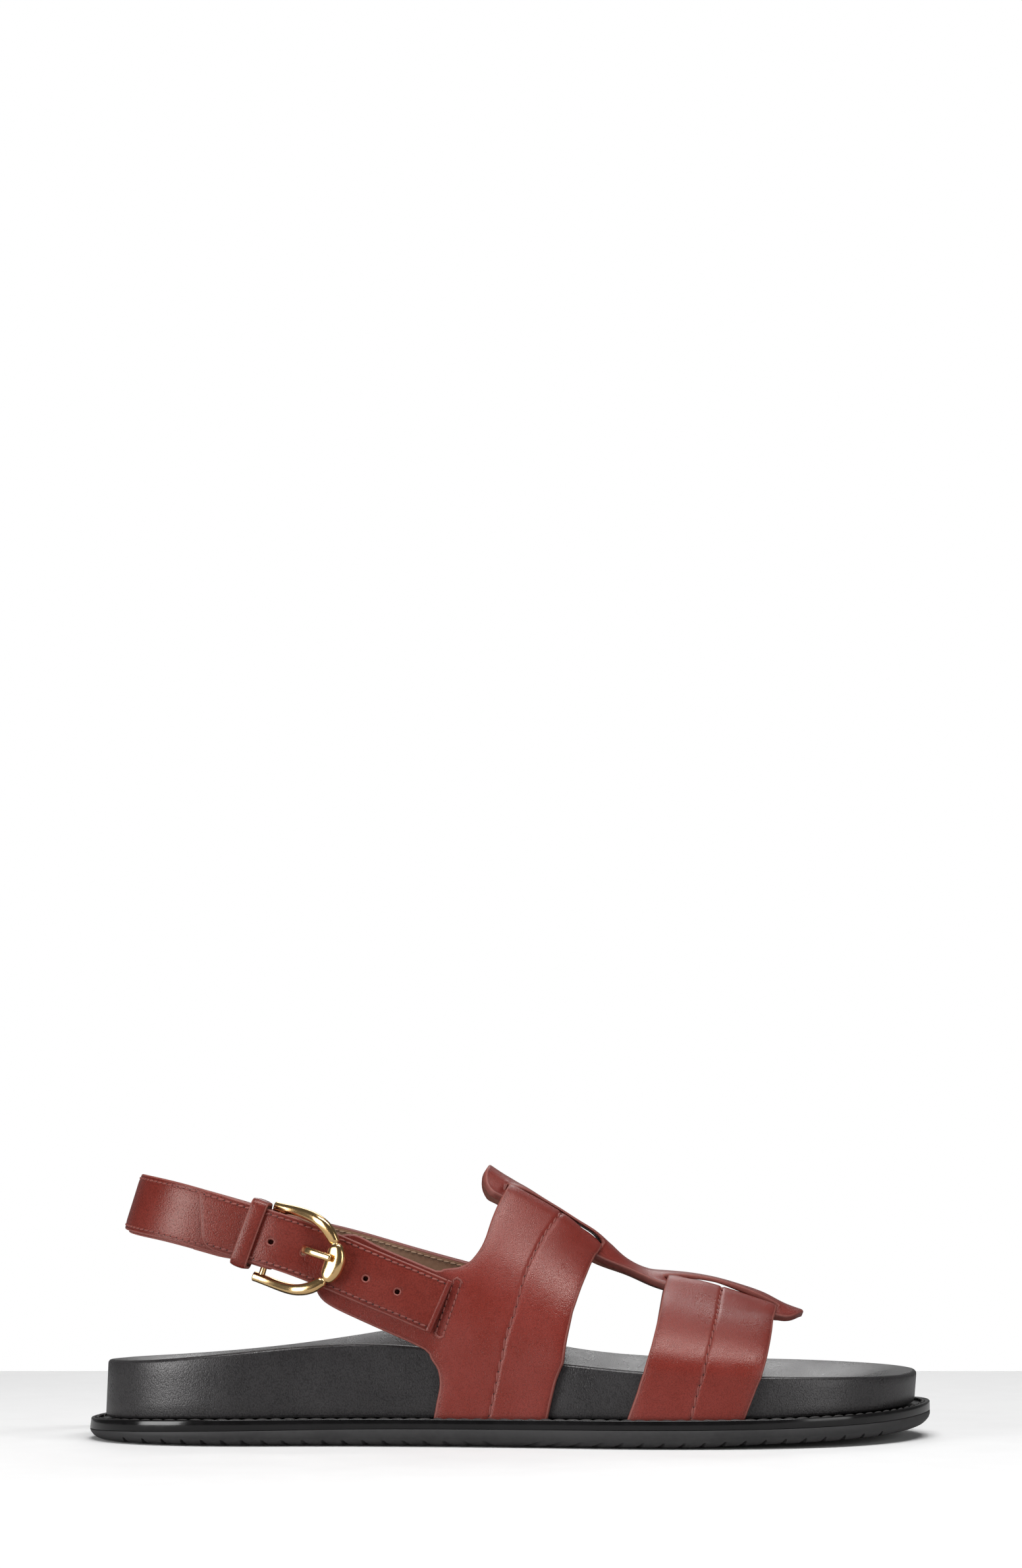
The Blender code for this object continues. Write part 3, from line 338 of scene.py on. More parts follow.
BUCKLE_STRAP = (
    # x, y, z, tilt in degrees, lean
    (-21.4, -36.1, 41.2, 20.5, 0.11),
    (-30.0, -35.2, 44.8, 20.5, 0.11),
    (-41.0, -34.0, 49.2, 20.5, 0.11),
    (-54.0, -32.3, 54.6, 20.5, 0.11),
    (-64.0, -31.1, 58.5, 19.5, 0.07),
    (-73.0, -30.3, 61.5, 17.0, 0.02),
    (-79.5, -28.6, 63.4, 17.0, 0.0),
    (-86.0, -27.5, 65.3, 17.0, 0.0),
    (-92.0, -26.4, 67.2, 16.5, 0.0),
    (-97.1, -25.2, 68.6, 16.0, 0.0),
)
BUCKLE_STRAP_WIDTH = 17.0
BUCKLE_STRAP_WALL = 2.0
TIP_SLANT = 5.9
TIP_CORNER = 3.5
PUNCH_HOLES = (-72.7, -62.8, -53.2, -43.7, -34.1)
PUNCH_RADIUS = 0.95
PUNCH_DROP = -0.8

CROSSBAR_RADIUS = 1.0
EYE = (-73.0, -26.9, 61.2)
BUCKLE_DROP = 0.85
ARM_DROP = 0.5
KNUCKLE = (-53.8, -37.1, 54.5)
BUCKLE_FRAME = (
    # along, across, half width, half depth, bow outwards
    (-2.6, 11.3, 0.9, 0.8, 0.0),
    (-2.3, 11.3, 1.5, 1.35, 0.0),
    (4.0, 11.5, 1.5, 1.4, 0.3),
    (10.0, 11.5, 1.6, 1.5, 1.4),
    (15.0, 10.8, 1.7, 1.5, 2.1),
    (18.8, 8.8, 1.8, 1.5, 1.5),
    (20.9, 6.6, 1.65, 1.45, 0.7),
    (21.3, 6.1, 1.6, 1.4, 0.55),
    (21.5, 5.8, 1.15, 1.05, 0.5),
    (21.7, 5.5, 1.15, 1.05, 0.42),
    (21.9, 5.2, 1.8, 1.4, 0.35),
    (22.3, 4.3, 2.5, 1.75, 0.2),
    (22.8, 2.2, 3.15, 1.95, 0.0),
    (23.0, 0.0, 3.3, 2.0, 0.0),
)
PRONG_WIDTH = 2.3
PRONG_ACROSS = 1.3
PRONG = (
    # along, outwards, half thickness
    (2.6, 0.9, 0.55),
    (5.2, -0.9, 0.8),
    (8.4, -2.6, 0.9),
    (10.3, -2.6, 0.9),
    (11.6, -0.6, 0.9),
    (12.9, 2.0, 0.9),
    (15.4, 3.3, 0.9),
    (19.5, 3.5, 0.9),
    (23.2, 3.2, 0.9),
)
HOOK_TURN = (-75, -300)
HOOK_RADIUS = 1.75
HOOK_HALF_WALL = 0.42

KEEPER_CENTRE = (-79.4, -27.7, 63.25)
KEEPER_TILT = math.radians(20)
KEEPER_TURN = 0.13
KEEPER_CORNER = 1.2
KEEPER_BOW = 0.25
KEEPER_HALF_HEIGHT = 10.2
KEEPER_HALF_DEPTH = 4.2
KEEPER_BAND = 5.2
KEEPER_WALL = 1.3

# Radius of the rounded edge of upper leather, and the margin it takes of a strap's half width.
EDGE_ROUNDING = 0.6
STRAP_MARGIN = 0.5
# Most that a corner of an edge reaches out, as a multiple of its rounding.
CORNER_REACH = 1.6


# ---------------------------------------------------------------- curves


def spline(knots, values):
    """Natural cubic spline through the values at the knots, as a function of one number."""
    knots = np.asarray(knots, float)
    values = np.asarray(values, float)
    count = len(knots)
    step = np.diff(knots)
    system = np.eye(count)
    right = np.zeros_like(values)
    for i in range(1, count - 1):
        system[i, i - 1 : i + 2] = step[i - 1], 2 * (step[i - 1] + step[i]), step[i]
        rise = (values[i + 1] - values[i]) / step[i]
        right[i] = 6 * (rise - (values[i] - values[i - 1]) / step[i - 1])
    bend = np.linalg.solve(system, right)

    def at(x):
        x = min(max(x, knots[0]), knots[-1])
        i = int(np.clip(np.searchsorted(knots, x) - 1, 0, count - 2))
        h = step[i]
        ahead = knots[i + 1] - x
        behind = x - knots[i]
        curved = (bend[i] * ahead**3 + bend[i + 1] * behind**3) / (6 * h)
        from_left = (values[i] / h - bend[i] * h / 6) * ahead
        return curved + from_left + (values[i + 1] / h - bend[i + 1] * h / 6) * behind

    return at


def column(table, index):
    """One column of a table as a smooth function of its first column."""
    return spline([row[0] for row in table], [row[index] for row in table])


def eased(table, index):
    """One column of a table, smooth and never past the values of its rows."""
    knots = np.array([row[0] for row in table], float)
    values = np.array([row[index] for row in table], float)
    rise = np.diff(values) / np.diff(knots)
    slopes = np.zeros(len(knots))
    for i in range(1, len(knots) - 1):
        if rise[i - 1] * rise[i] > 0:
            slopes[i] = 2 * rise[i - 1] * rise[i] / (rise[i - 1] + rise[i])
    slopes[0], slopes[-1] = rise[0], rise[-1]

    def at(x):
        x = min(max(x, knots[0]), knots[-1])
        i = int(np.clip(np.searchsorted(knots, x) - 1, 0, len(knots) - 2))
        h = knots[i + 1] - knots[i]
        t = (x - knots[i]) / h
        ends = values[i] + (values[i + 1] - values[i]) * t * t * (3 - 2 * t)
        return ends + h * t * (1 - t) * (slopes[i] * (1 - t) - slopes[i + 1] * t)

    return at


def chord_knots(points):
    """Distance of each point from the first, along the straight steps between them."""
    steps = np.linalg.norm(np.diff(points, axis=0), axis=1)
    return np.concatenate([[0], np.cumsum(steps)])


def path(points):
    """Smooth curve through points as a function of a distance, and its chord length."""
    points = np.asarray(points, float)
    knots = chord_knots(points[:, :3])
    return spline(knots, points), knots[-1]


def first_reached(reached, low, high, rounds):
    """Number between low and high from which reached holds, by halving the span."""
    for _ in range(rounds):
        middle = (low + high) / 2
        if reached(middle):
            high = middle
        else:
            low = middle
    return low


def unit(vector):
    return vector / np.linalg.norm(vector)


def smooth_step(value):
    value = min(max(value, 0.0), 1.0)
    return value * value * (3 - 2 * value)


def closed_outline(points, per_side):
    """Even ring: back of the heel, lateral side to the toe tip, and back down the medial side."""
    points = np.asarray(points, float)
    wrap = 4
    wrapped = np.vstack([points[-wrap:], points, points[: wrap + 1]])
    knots = chord_knots(wrapped)
    curve = spline(knots, wrapped)
    toe = wrap + TOE_ROW
    halves = []
    for first, last in ((wrap, toe), (toe, wrap + len(points))):
        fine = np.array([curve(s) for s in np.linspace(knots[first], knots[last], 500)])
        run = chord_knots(fine)
        even = np.linspace(0, run[-1], per_side + 1)[:-1]
        halves.append(np.column_stack([np.interp(even, run, fine[:, k]) for k in (0, 1)]))
    return np.vstack(halves)


FINE_SIDE = 250
FINE_RING = closed_outline(FOOTBED_OUTLINE, FINE_SIDE)
LATERAL_EDGE = FINE_RING[: FINE_SIDE + 1]
MEDIAL_EDGE = np.vstack([FINE_RING[FINE_SIDE:], FINE_RING[:1]])[::-1]

sole_bottom = eased(SOLE, 1)
welt_top = eased(SOLE, 2)
sole_margin = eased(SOLE, 3)
welt_thickness = eased(SOLE, 4)
rims = {-1: column(FOOTBED, 1), 1: column(FOOTBED, 2)}
footbed_floor = column(FOOTBED, 3)
footbed_lean = eased(FOOTBED, 4)

spring_height = column(LAST, 1)
ridge_height = column(LAST, 2)
ridge_side = column(LAST, 3)
conic_weight = column(LAST, 4)
tuck = column(LAST, 5)

strip_half_width = column(STRIP, 1)
strip_lift = column(STRIP, 2)
strip_roll = column(STRIP, 3)
strip_slimness = eased(STRIP, 4)
fold_lift = eased(FOLD_LIFT, 1)


def footbed_half_width(x, side):
    """Distance of the footbed's edge from the centre plane; side is -1 lateral, 1 medial."""
    edge = LATERAL_EDGE if side < 0 else MEDIAL_EDGE
    return float(abs(np.interp(x, edge[:, 0], edge[:, 1])))


def last_point(x, turn):
    """Point on the last's surface, which is the inner face of the bands."""
    side = -1 if turn <= 2 else 1
    height = min(turn, 4 - turn)
    wall_y = side * (footbed_half_width(x, side) + SOLE_GAP - tuck(x))
    foot = welt_top(x) + 0.1
    spring = spring_height(x)
    if height <= 1:
        return np.array([x, wall_y, foot + (spring - foot) * height])
    t = height - 1
    blend = (1 - t) ** 2 + 2 * conic_weight(x) * t * (1 - t) + t * t
    inward = t * t / blend
    below = (1 - t) ** 2 / blend
    y = wall_y + (ridge_side(x) - wall_y) * inward
    return np.array([x, y, ridge_height(x) - (ridge_height(x) - spring) * below])


def last_normal(x, turn):
    """Outward normal of the last."""
    low, high = max(turn - 0.02, 0.0), min(turn + 0.02, 4.0)
    along = last_point(x + 0.5, turn) - last_point(x - 0.5, turn)
    return unit(np.cross(along, last_point(x, high) - last_point(x, low)))


def turn_at_height(x, z):
    """Lateral turn at which the last reaches the height z."""
    return first_reached(lambda turn: last_point(x, turn)[2] >= z, 0.0, 2.0, 24)


# ---------------------------------------------------------------- meshes


def new_piece(name, points, faces, materials, which=None, values=None):
    """Object from points in millimetres. which gives each face's material, values the named
    numbers that its materials read at each point."""
    mesh = bpy.data.meshes.new(name)
    mesh.from_pydata([tuple(point) for point in np.asarray(points) * MM], [], faces)
    for material in materials:
        mesh.materials.append(material)
    if which is not None:
        mesh.polygons.foreach_set("material_index", np.asarray(which, np.int32))
    for label, numbers in (values or {}).items():
        layer = mesh.attributes.new(label, "FLOAT", "POINT")
        layer.data.foreach_set("value", np.asarray(numbers, np.float32))
    mesh.shade_smooth()
    mesh.update()
    obj = bpy.data.objects.new(name, mesh)
    bpy.context.scene.collection.objects.link(obj)
    return obj


def grid_faces(rows, columns, closed=False, left_out=()):
    """Quads between rows of points; a closed grid joins its last row to its first."""
    faces = []
    for r in range(rows if closed else rows - 1):
        after = (r + 1) % rows
        for c in range(columns - 1):
            if (r, c) not in left_out:
                quad = (r * columns + c, r * columns + c + 1)
                faces.append((*quad, after * columns + c + 1, after * columns + c))
    return faces


def point_normals(points, faces):
    normals = np.zeros_like(points)
    for face in faces:
        corners = points[list(face)]
        if len(face) == 4:
            flat = np.cross(corners[2] - corners[0], corners[3] - corners[1])
        else:
            flat = np.cross(corners[1] - corners[0], corners[2] - corners[0])
        for index in face:
            normals[index] += flat
    return normals / np.maximum(np.linalg.norm(normals, axis=1), 1e-12)[:, None]


def open_edges(faces):
    """Edges of only one face, in the direction that the face takes them."""
    seen = set()
    for face in faces:
        seen.update(zip(face, (*face[1:], face[0])))
    return [(a, b) for a, b in seen if (b, a) not in seen]


def leather_shell(
    name, slot, node, points, faces, wall, skins, thin, rounding=EDGE_ROUNDING, inner_rounding=0.35
):
    """Closed piece grown outwards from its inner face, with a rounded, painted edge all round.

    It takes the place of the CAD node. skins is the materials of its inner and outer faces, and
    thin gives the share of the wall's thickness at each point.
    """
    points = np.asarray(points, float).reshape(-1, 3)
    count = len(points)
    thickness = wall * (np.ones(count) * np.asarray(thin, float).reshape(-1))
    normals = point_normals(points, faces)
    border = sorted(open_edges(faces))
    outwards = np.zeros_like(points)
    for a, b in border:
        side = np.cross(unit(points[b] - points[a]), normals[a] + normals[b])
        outwards[a] += unit(side)
        outwards[b] += unit(side)
    edge_points = sorted({index for pair in border for index in pair})
    for index in edge_points:
        length = np.linalg.norm(outwards[index])
        outwards[index] *= min(2 / max(length, 1e-6), CORNER_REACH) / max(length, 1e-6)
    outwards[edge_points] -= normals[edge_points] * np.sum(
        outwards[edge_points] * normals[edge_points], axis=1
    )[:, None]
    everything = [points + normals * thickness[:, None], points]
    rings = []
    place = {index: k for k, index in enumerate(edge_points)}
    base = points[edge_points]
    up = normals[edge_points]
    away = outwards[edge_points]
    tall = thickness[edge_points][:, None]
    steps = [(angle, rounding, True) for angle in (60, 30, 0)]
    steps += [(angle, inner_rounding, False) for angle in (0, -30, -60)]
    for angle, radius, top in steps:
        turn = math.radians(angle)
        out = radius * math.cos(turn) + (0 if top else rounding - inner_rounding) * math.cos(turn)
        height = (tall - radius if top else radius) + radius * math.sin(turn)
        rings.append(base + away * out + up * height)
        everything.append(rings[-1])
    stacked = np.vstack(everything)
    shell_faces = list(faces) + [tuple(count + i for i in face[::-1]) for face in faces]
    which = [1] * len(faces) + [0] * len(faces)
    ring_size = len(edge_points)
    starts = [2 * count + k * ring_size for k in range(len(rings))]
    for a, b in border:
        ladder = [(b, a)]
        ladder += [(start + place[b], start + place[a]) for start in starts]
        ladder.append((count + b, count + a))
        for (b0, a0), (b1, a1) in zip(ladder, ladder[1:]):
            shell_faces.append((b0, a0, a1, b1))
            which.append(2)
    border_at = np.array([points[i] for i in edge_points])
    distance = np.array([np.min(np.linalg.norm(border_at - p, axis=1)) for p in points])
    from_edge = np.concatenate([distance, distance] + [np.zeros(ring_size)] * len(rings))
    finish = [*skins, EDGE_PAINT]
    piece = new_piece(name, stacked, shell_faces, finish, which, {"from_edge": from_edge})
    dress(piece, slot, node)


def tube_sides(rings, count):
    """Quads between rings of count points each."""
    faces = []
    for low in range(0, (rings - 1) * count, count):
        for i in range(count):
            j = (i + 1) % count
            faces.append((low + i, low + j, low + count + j, low + count + i))
    return faces


def ring_stack(rings):
    """Closed body from rings of one outline, bottom first, capped by strips across its width."""
    rings = np.asarray(rings)
    levels, count = rings.shape[:2]
    faces = tube_sides(levels, count)
    top = (levels - 1) * count
    for i in range(count // 2):
        near = (i, i + 1, (count - i - 1) % count, (count - i) % count)
        across = list(dict.fromkeys(near))
        faces.append(tuple(across[::-1]))
        faces.append(tuple(top + k for k in across))
    return rings.reshape(-1, 3), faces


def section_stack(sections):
    """Closed body through a run of sections, with flat ends."""
    sections = np.asarray(sections)
    count, sides = sections.shape[:2]
    faces = tube_sides(count, sides)
    faces.append(tuple(range(sides))[::-1])
    faces.append(tuple((count - 1) * sides + i for i in range(sides)))
    return sections.reshape(-1, 3), faces


def face_outwards(obj):
    mesh = bmesh.new()
    mesh.from_mesh(obj.data)
    bmesh.ops.recalc_face_normals(mesh, faces=mesh.faces)
    mesh.to_mesh(obj.data)
    mesh.free()


def section_piece(name, sections, material, slot, *nodes):
    """Finished piece through a run of sections."""
    points, faces = section_stack(sections)
    piece = new_piece(name, points, faces, [material])
    face_outwards(piece)
    dress(piece, slot, *nodes)


def round_steps(sides, first=0.0):
    """Cosine and sine of even steps round a circle."""
    angles = [2 * math.pi * (side + first) / sides for side in range(sides)]
    return [(math.cos(angle), math.sin(angle)) for angle in angles]


def set_vectors(mesh, label, vectors):
    layer = mesh.attributes.new(label, "FLOAT_VECTOR", "POINT")
    layer.data.foreach_set("vector", np.asarray(vectors, np.float32).reshape(-1))


def plain_mesh(obj):
    """The object's mesh with its modifiers applied."""
    graph = bpy.context.evaluated_depsgraph_get()
    return bpy.data.meshes.new_from_object(obj.evaluated_get(graph), depsgraph=graph)


def new_geometry_tree(name, inputs):
    """Geometry node tree with a geometry, the named inputs and a material."""
    tree = bpy.data.node_groups.new(name, "GeometryNodeTree")
    sockets = tree.interface
    sockets.new_socket("Geometry", in_out="INPUT", socket_type="NodeSocketGeometry")
    for label, kind, default in inputs:
        socket = sockets.new_socket(label, in_out="INPUT", socket_type=f"NodeSocket{kind}")
        if default is not None:
            socket.default_value = default
    sockets.new_socket("Material", in_out="INPUT", socket_type="NodeSocketMaterial")
    sockets.new_socket("Geometry", in_out="OUTPUT", socket_type="NodeSocketGeometry")
    maker = Maker(tree)
    return tree, maker, maker.node("NodeGroupInput"), maker.node("NodeGroupOutput")


def finish_tree(maker, geometry, material, result):
    """Realises the instances and gives them their material."""
    real = maker.node("GeometryNodeRealizeInstances", Geometry=geometry)
    coated = maker.node("GeometryNodeSetMaterial", Geometry=real.outputs[0], Material=material)
    maker.tree.links.new(coated.outputs[0], result.inputs[0])


def grown(seeds, tree, name, **inputs):
    """Plain object from a geometry node tree run on the seeds, which are then removed."""
    modifier = seeds.modifiers.new(name, "NODES")
    modifier.node_group = tree
    sockets = {item.name: item.identifier for item in tree.interface.items_tree}
    for key, value in inputs.items():
        modifier[sockets[key.replace("_", " ")]] = value
    mesh = plain_mesh(seeds)
    bpy.data.objects.remove(seeds, do_unlink=True)
    mesh.shade_smooth()
    made = bpy.data.objects.new(name, mesh)
    bpy.context.scene.collection.objects.link(made)
    return made


def dress(piece, slot, *nodes):
    """Puts a finished piece on the sandal, in place of CAD nodes if any are named."""
    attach(piece, BODY)
    if nodes:
        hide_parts(*nodes)


# ---------------------------------------------------------------- finishes


class Maker:
    """Short calls for a node tree."""

    def __init__(self, tree):
        self.tree = tree

    def node(self, kind, settings=None, **inputs):
        made = self.tree.nodes.new(kind)
        for key, value in (settings or {}).items():
            setattr(made, key, value)
        for key, value in inputs.items():
            socket = self.socket(made, key)
            if isinstance(value, bpy.types.NodeSocket):
                self.tree.links.new(value, socket)
            else:
                socket.default_value = value
        return made

    def socket(self, made, key):
        if key[0] == "i" and key[1:].isdigit():
            return made.inputs[int(key[1:])]
        return made.inputs[key.replace("_", " ")]

    def math(self, operation, a, b=0.0, c=0.0, clamp=False):
        settings = {"operation": operation, "use_clamp": clamp}
        return self.node("ShaderNodeMath", settings, i0=a, i1=b, i2=c).outputs[0]

    def noise(self, vector, scale, detail=2.0, roughness=0.5):
        inputs = {"Vector": vector, "Scale": scale, "Detail": detail, "Roughness": roughness}
        return self.node("ShaderNodeTexNoise", **inputs).outputs["Fac"]

    def cells(self, vector, scale):
        made = self.node("ShaderNodeTexVoronoi", Vector=vector, Scale=scale)
        return made.outputs["Distance"]

    def spread(self, value, low, high, to_low=0.0, to_high=1.0):
        settings = {"interpolation_type": "SMOOTHSTEP"}
        ends = {"i1": low, "i2": high, "i3": to_low, "i4": to_high}
        return self.node("ShaderNodeMapRange", settings, i0=value, **ends).outputs[0]

    def blend(self, share, first, second):
        settings = {"data_type": "RGBA"}
        return self.node("ShaderNodeMix", settings, i0=share, i6=first, i7=second).outputs[2]

    def vectors(self, operation, **inputs):
        return self.node("ShaderNodeVectorMath", {"operation": operation}, **inputs).outputs[0]

    def vector(self, x, y, z):
        return self.node("ShaderNodeCombineXYZ", X=x, Y=y, Z=z).outputs[0]


def new_group(name, inputs, outputs):
    """Shader node group with named sockets: (name, kind, default) and (name, kind)."""
    tree = bpy.data.node_groups.new(name, "ShaderNodeTree")
    for label, kind, default in inputs:
        socket = tree.interface.new_socket(label, in_out="INPUT", socket_type=f"NodeSocket{kind}")
        socket.default_value = default
    for label, kind in outputs:
        tree.interface.new_socket(label, in_out="OUTPUT", socket_type=f"NodeSocket{kind}")
    maker = Maker(tree)
    return maker, maker.node("NodeGroupInput"), maker.node("NodeGroupOutput")


def leather_grain_group():
    """Fine pebbled hide: a Bump height, a valley mask for painted shade and slow patches."""
    maker, given, result = new_group(
        "leather_grain",
        [
            ("Pebble Size mm", "Float", 0.6),
            ("Crease Size mm", "Float", 4.0),
            ("Patch Size mm", "Float", 14.0),
            ("Crease Share", "Float", 0.3),
            ("Upright Stretch", "Float", 1.0),
        ],
        [("Height", "Float"), ("Valley_Shade", "Float"), ("Patches", "Float")],
    )
    shrink = maker.math("DIVIDE", 1.0, given.outputs["Upright Stretch"])
    start = maker.node("ShaderNodeTexCoord").outputs["Object"]
    where = maker.vectors("MULTIPLY", i0=start, i1=maker.vector(1.0, 1.0, shrink))
    wobble = maker.node("ShaderNodeTexNoise", Vector=where, Scale=900.0, Detail=2.0)
    bent = maker.vectors("SCALE", i0=wobble.outputs["Color"], Scale=0.0005)
    moved = maker.vectors("ADD", i0=where, i1=bent)
    pebble, crease, patch = (
        maker.math("DIVIDE", 1000.0, given.outputs[f"{kind} Size mm"])
        for kind in ("Pebble", "Crease", "Patch")
    )
    cell = maker.cells(moved, pebble)
    plump = maker.math("SUBTRACT", 1.0, maker.math("MULTIPLY", cell, cell), clamp=True)
    fine = maker.noise(where, maker.math("MULTIPLY", pebble, 1.3), 2.0, 0.5)
    creases = maker.noise(where, crease, 4.0, 0.6)
    pebbles = maker.math("MULTIPLY_ADD", fine, 0.8, plump)
    height = maker.math(
        "MULTIPLY_ADD", creases, given.outputs["Crease Share"], maker.math("MULTIPLY", pebbles, 0.6)
    )
    links = maker.tree.links
    links.new(height, result.inputs["Height"])
    valley_shade_mask = maker.spread(maker.math("SUBTRACT", 1.0, plump), 0.08, 0.5)
    links.new(valley_shade_mask, result.inputs["Valley_Shade"])
    links.new(maker.noise(where, patch, 3.0, 0.55), result.inputs["Patches"])
    return maker.tree


def edge_burnish_group():
    """Mask that is 1 on a piece's cut edge and fades over the given distance from it."""
    maker, given, result = new_group(
        "edge_burnish",
        [("Reach mm", "Float", 1.0), ("Unevenness", "Float", 0.5)],
        [("Mask", "Float")],
    )
    distance = maker.node("ShaderNodeAttribute", {"attribute_name": "from_edge"}).outputs["Fac"]
    where = maker.node("ShaderNodeTexCoord").outputs["Object"]
    ragged = maker.noise(where, 400.0, 3.0, 0.6)
    ragged = maker.math("SUBTRACT", ragged, 0.5)
    uneven = maker.math("MULTIPLY", ragged, given.outputs["Unevenness"])
    share = maker.math("DIVIDE", distance, given.outputs["Reach mm"])
    mask = maker.math("SUBTRACT", 1.0, maker.math("ADD", share, uneven), clamp=True)
    maker.tree.links.new(mask, result.inputs["Mask"])
    return maker.tree


GRAIN_DEPTH = 0.00007
LEATHER_GRAIN = leather_grain_group()
EDGE_BURNISH = edge_burnish_group()


def new_finish(name):
    material = bpy.data.materials.new(name)
    material.use_nodes = True
    shader = material.node_tree.nodes["Principled BSDF"]
    return material, Maker(material.node_tree), shader


def placed_group(maker, tree, **inputs):
    made = maker.node("ShaderNodeGroup", {"node_tree": tree})
    for key, value in inputs.items():
        made.inputs[key.replace("_", " ")].default_value = value
    return made


def rgba(colour):
    return (*colour, 1.0)


def finish_leather(
    name,
    deep,
    main,
    bloom,
    pebble=0.3,
    roughness=0.3,
    edge_dark=0.4,
    gloss=0.45,
    stretch=1.0,
    depth=0.45,
    sheen_tint=(1.0, 0.84, 0.78),
):
    """Aniline leather: grain, painted valley shade, slow colour patches and a burnished edge."""
    material, maker, shader = new_finish(name)
    grain = placed_group(maker, LEATHER_GRAIN, Pebble_Size_mm=pebble, Upright_Stretch=stretch)
    edge = placed_group(maker, EDGE_BURNISH, Reach_mm=1.1)
    patches = maker.spread(grain.outputs["Patches"], 0.3, 0.7)
    colour = maker.blend(patches, rgba(main), rgba(bloom))
    # Painted shade: the grain's valleys are darkened towards the deep colour, by depth.
    valley_shade = maker.math("MULTIPLY", grain.outputs["Valley_Shade"], depth)
    colour = maker.blend(valley_shade, colour, rgba(deep))
    rim = maker.math("MULTIPLY", edge.outputs["Mask"], edge_dark)
    colour = maker.blend(rim, colour, rgba(deep))
    links = maker.tree.links
    links.new(colour, shader.inputs["Base Color"])
    rough = maker.spread(grain.outputs["Patches"], 0.25, 0.75, roughness - 0.05, roughness + 0.06)
    links.new(rough, shader.inputs["Roughness"])
    raised = grain.outputs["Height"]
    height = maker.node("ShaderNodeBump", Strength=1.0, Distance=GRAIN_DEPTH, Height=raised)
    links.new(height.outputs[0], shader.inputs["Normal"])
    shader.inputs["Specular IOR Level"].default_value = gloss
    shader.inputs["Specular Tint"].default_value = rgba(sheen_tint)
    return material


def finish_plain(name, dark, light, scale, roughness, bump, distance=0.0001, metallic=0.0):
    """Even material with fine noise in its colour, gloss and surface."""
    material, maker, shader = new_finish(name)
    where = maker.node("ShaderNodeTexCoord").outputs["Object"]
    fine = maker.noise(where, scale, 4.0, 0.6)
    slow = maker.noise(where, 60.0, 2.0, 0.5)
    both = maker.math("MULTIPLY_ADD", slow, 0.5, maker.math("MULTIPLY", fine, 0.5))
    links = maker.tree.links
    colour = maker.blend(maker.spread(both, 0.35, 0.65), rgba(dark), rgba(light))
    links.new(colour, shader.inputs["Base Color"])
    low, high = roughness
    links.new(maker.spread(both, 0.3, 0.7, low, high), shader.inputs["Roughness"])
    height = maker.node("ShaderNodeBump", Strength=bump, Distance=distance, Height=fine)
    links.new(height.outputs[0], shader.inputs["Normal"])
    shader.inputs["Metallic"].default_value = metallic
    return material


UPPER_LEATHER = finish_leather(
    "upper_leather", (0.09, 0.010, 0.007), (0.20, 0.028, 0.020), (0.225, 0.034, 0.026)
)
STRAP_LEATHER = finish_leather(
    "strap_leather", (0.08, 0.009, 0.006), (0.165, 0.023, 0.016), (0.19, 0.029, 0.021), 0.45
)
FOOTBED_LEATHER = finish_leather(
    "footbed_leather",
    (0.004, 0.0036, 0.004),
    (0.030, 0.0284, 0.0295),
    (0.039, 0.0370, 0.0384),
    pebble=0.34,
    sheen_tint=(1.0, 0.98, 0.98),
    roughness=0.29,
    edge_dark=0.0,
    gloss=0.5,
    stretch=1.6,
    depth=0.55,
)
EDGE_PAINT = finish_plain(
    "edge_paint", (0.19, 0.045, 0.034), (0.25, 0.066, 0.050), 900.0, (0.5, 0.62), 0.25
)
STRAP_LINING = finish_plain(
    "strap_lining", (0.30, 0.155, 0.09), (0.38, 0.215, 0.135), 1500.0, (0.55, 0.68), 0.3
)
UPPER_LINING = finish_plain(
    "upper_lining", (0.22, 0.085, 0.06), (0.29, 0.12, 0.09), 1500.0, (0.55, 0.7), 0.3
)
SOLE_RUBBER = finish_plain(
    "sole_rubber", (0.020, 0.019, 0.020), (0.030, 0.029, 0.030), 700.0, (0.55, 0.7), 0.25
)
WELT_GLOSS = finish_plain(
    "welt_gloss", (0.003, 0.0028, 0.003), (0.006, 0.0055, 0.006), 300.0, (0.12, 0.2), 0.06
)
GILT = finish_plain(
    "gilt_brass", (0.88, 0.56, 0.25), (0.94, 0.64, 0.31), 2600.0, (0.15, 0.21), 0.03, 0.00005, 1.0
)
RED_THREAD = finish_plain(
    "red_thread", (0.17, 0.034, 0.026), (0.26, 0.065, 0.050), 4000.0, (0.45, 0.6), 0.5
)
TAN_THREAD = finish_plain(
    "tan_thread", (0.30, 0.18, 0.11), (0.40, 0.26, 0.17), 4000.0, (0.5, 0.65), 0.5
)
BLACK_THREAD = finish_plain(
    "black_thread", (0.010, 0.009, 0.009), (0.05, 0.047, 0.047), 4000.0, (0.5, 0.65), 0.5
)
# Dark discs laid between the stitches: painted shade of the needle holes, in the leather and in the
# lining.
NEEDLE_HOLE_SHADE = finish_plain(
    "needle_hole_shade", (0.020, 0.006, 0.005), (0.035, 0.010, 0.008), 900.0, (0.7, 0.8), 0.1
)
LINING_HOLE_SHADE = finish_plain(
    "lining_hole_shade", (0.13, 0.065, 0.04), (0.17, 0.09, 0.055), 900.0, (0.7, 0.8), 0.1
)


# ---------------------------------------------------------------- sole


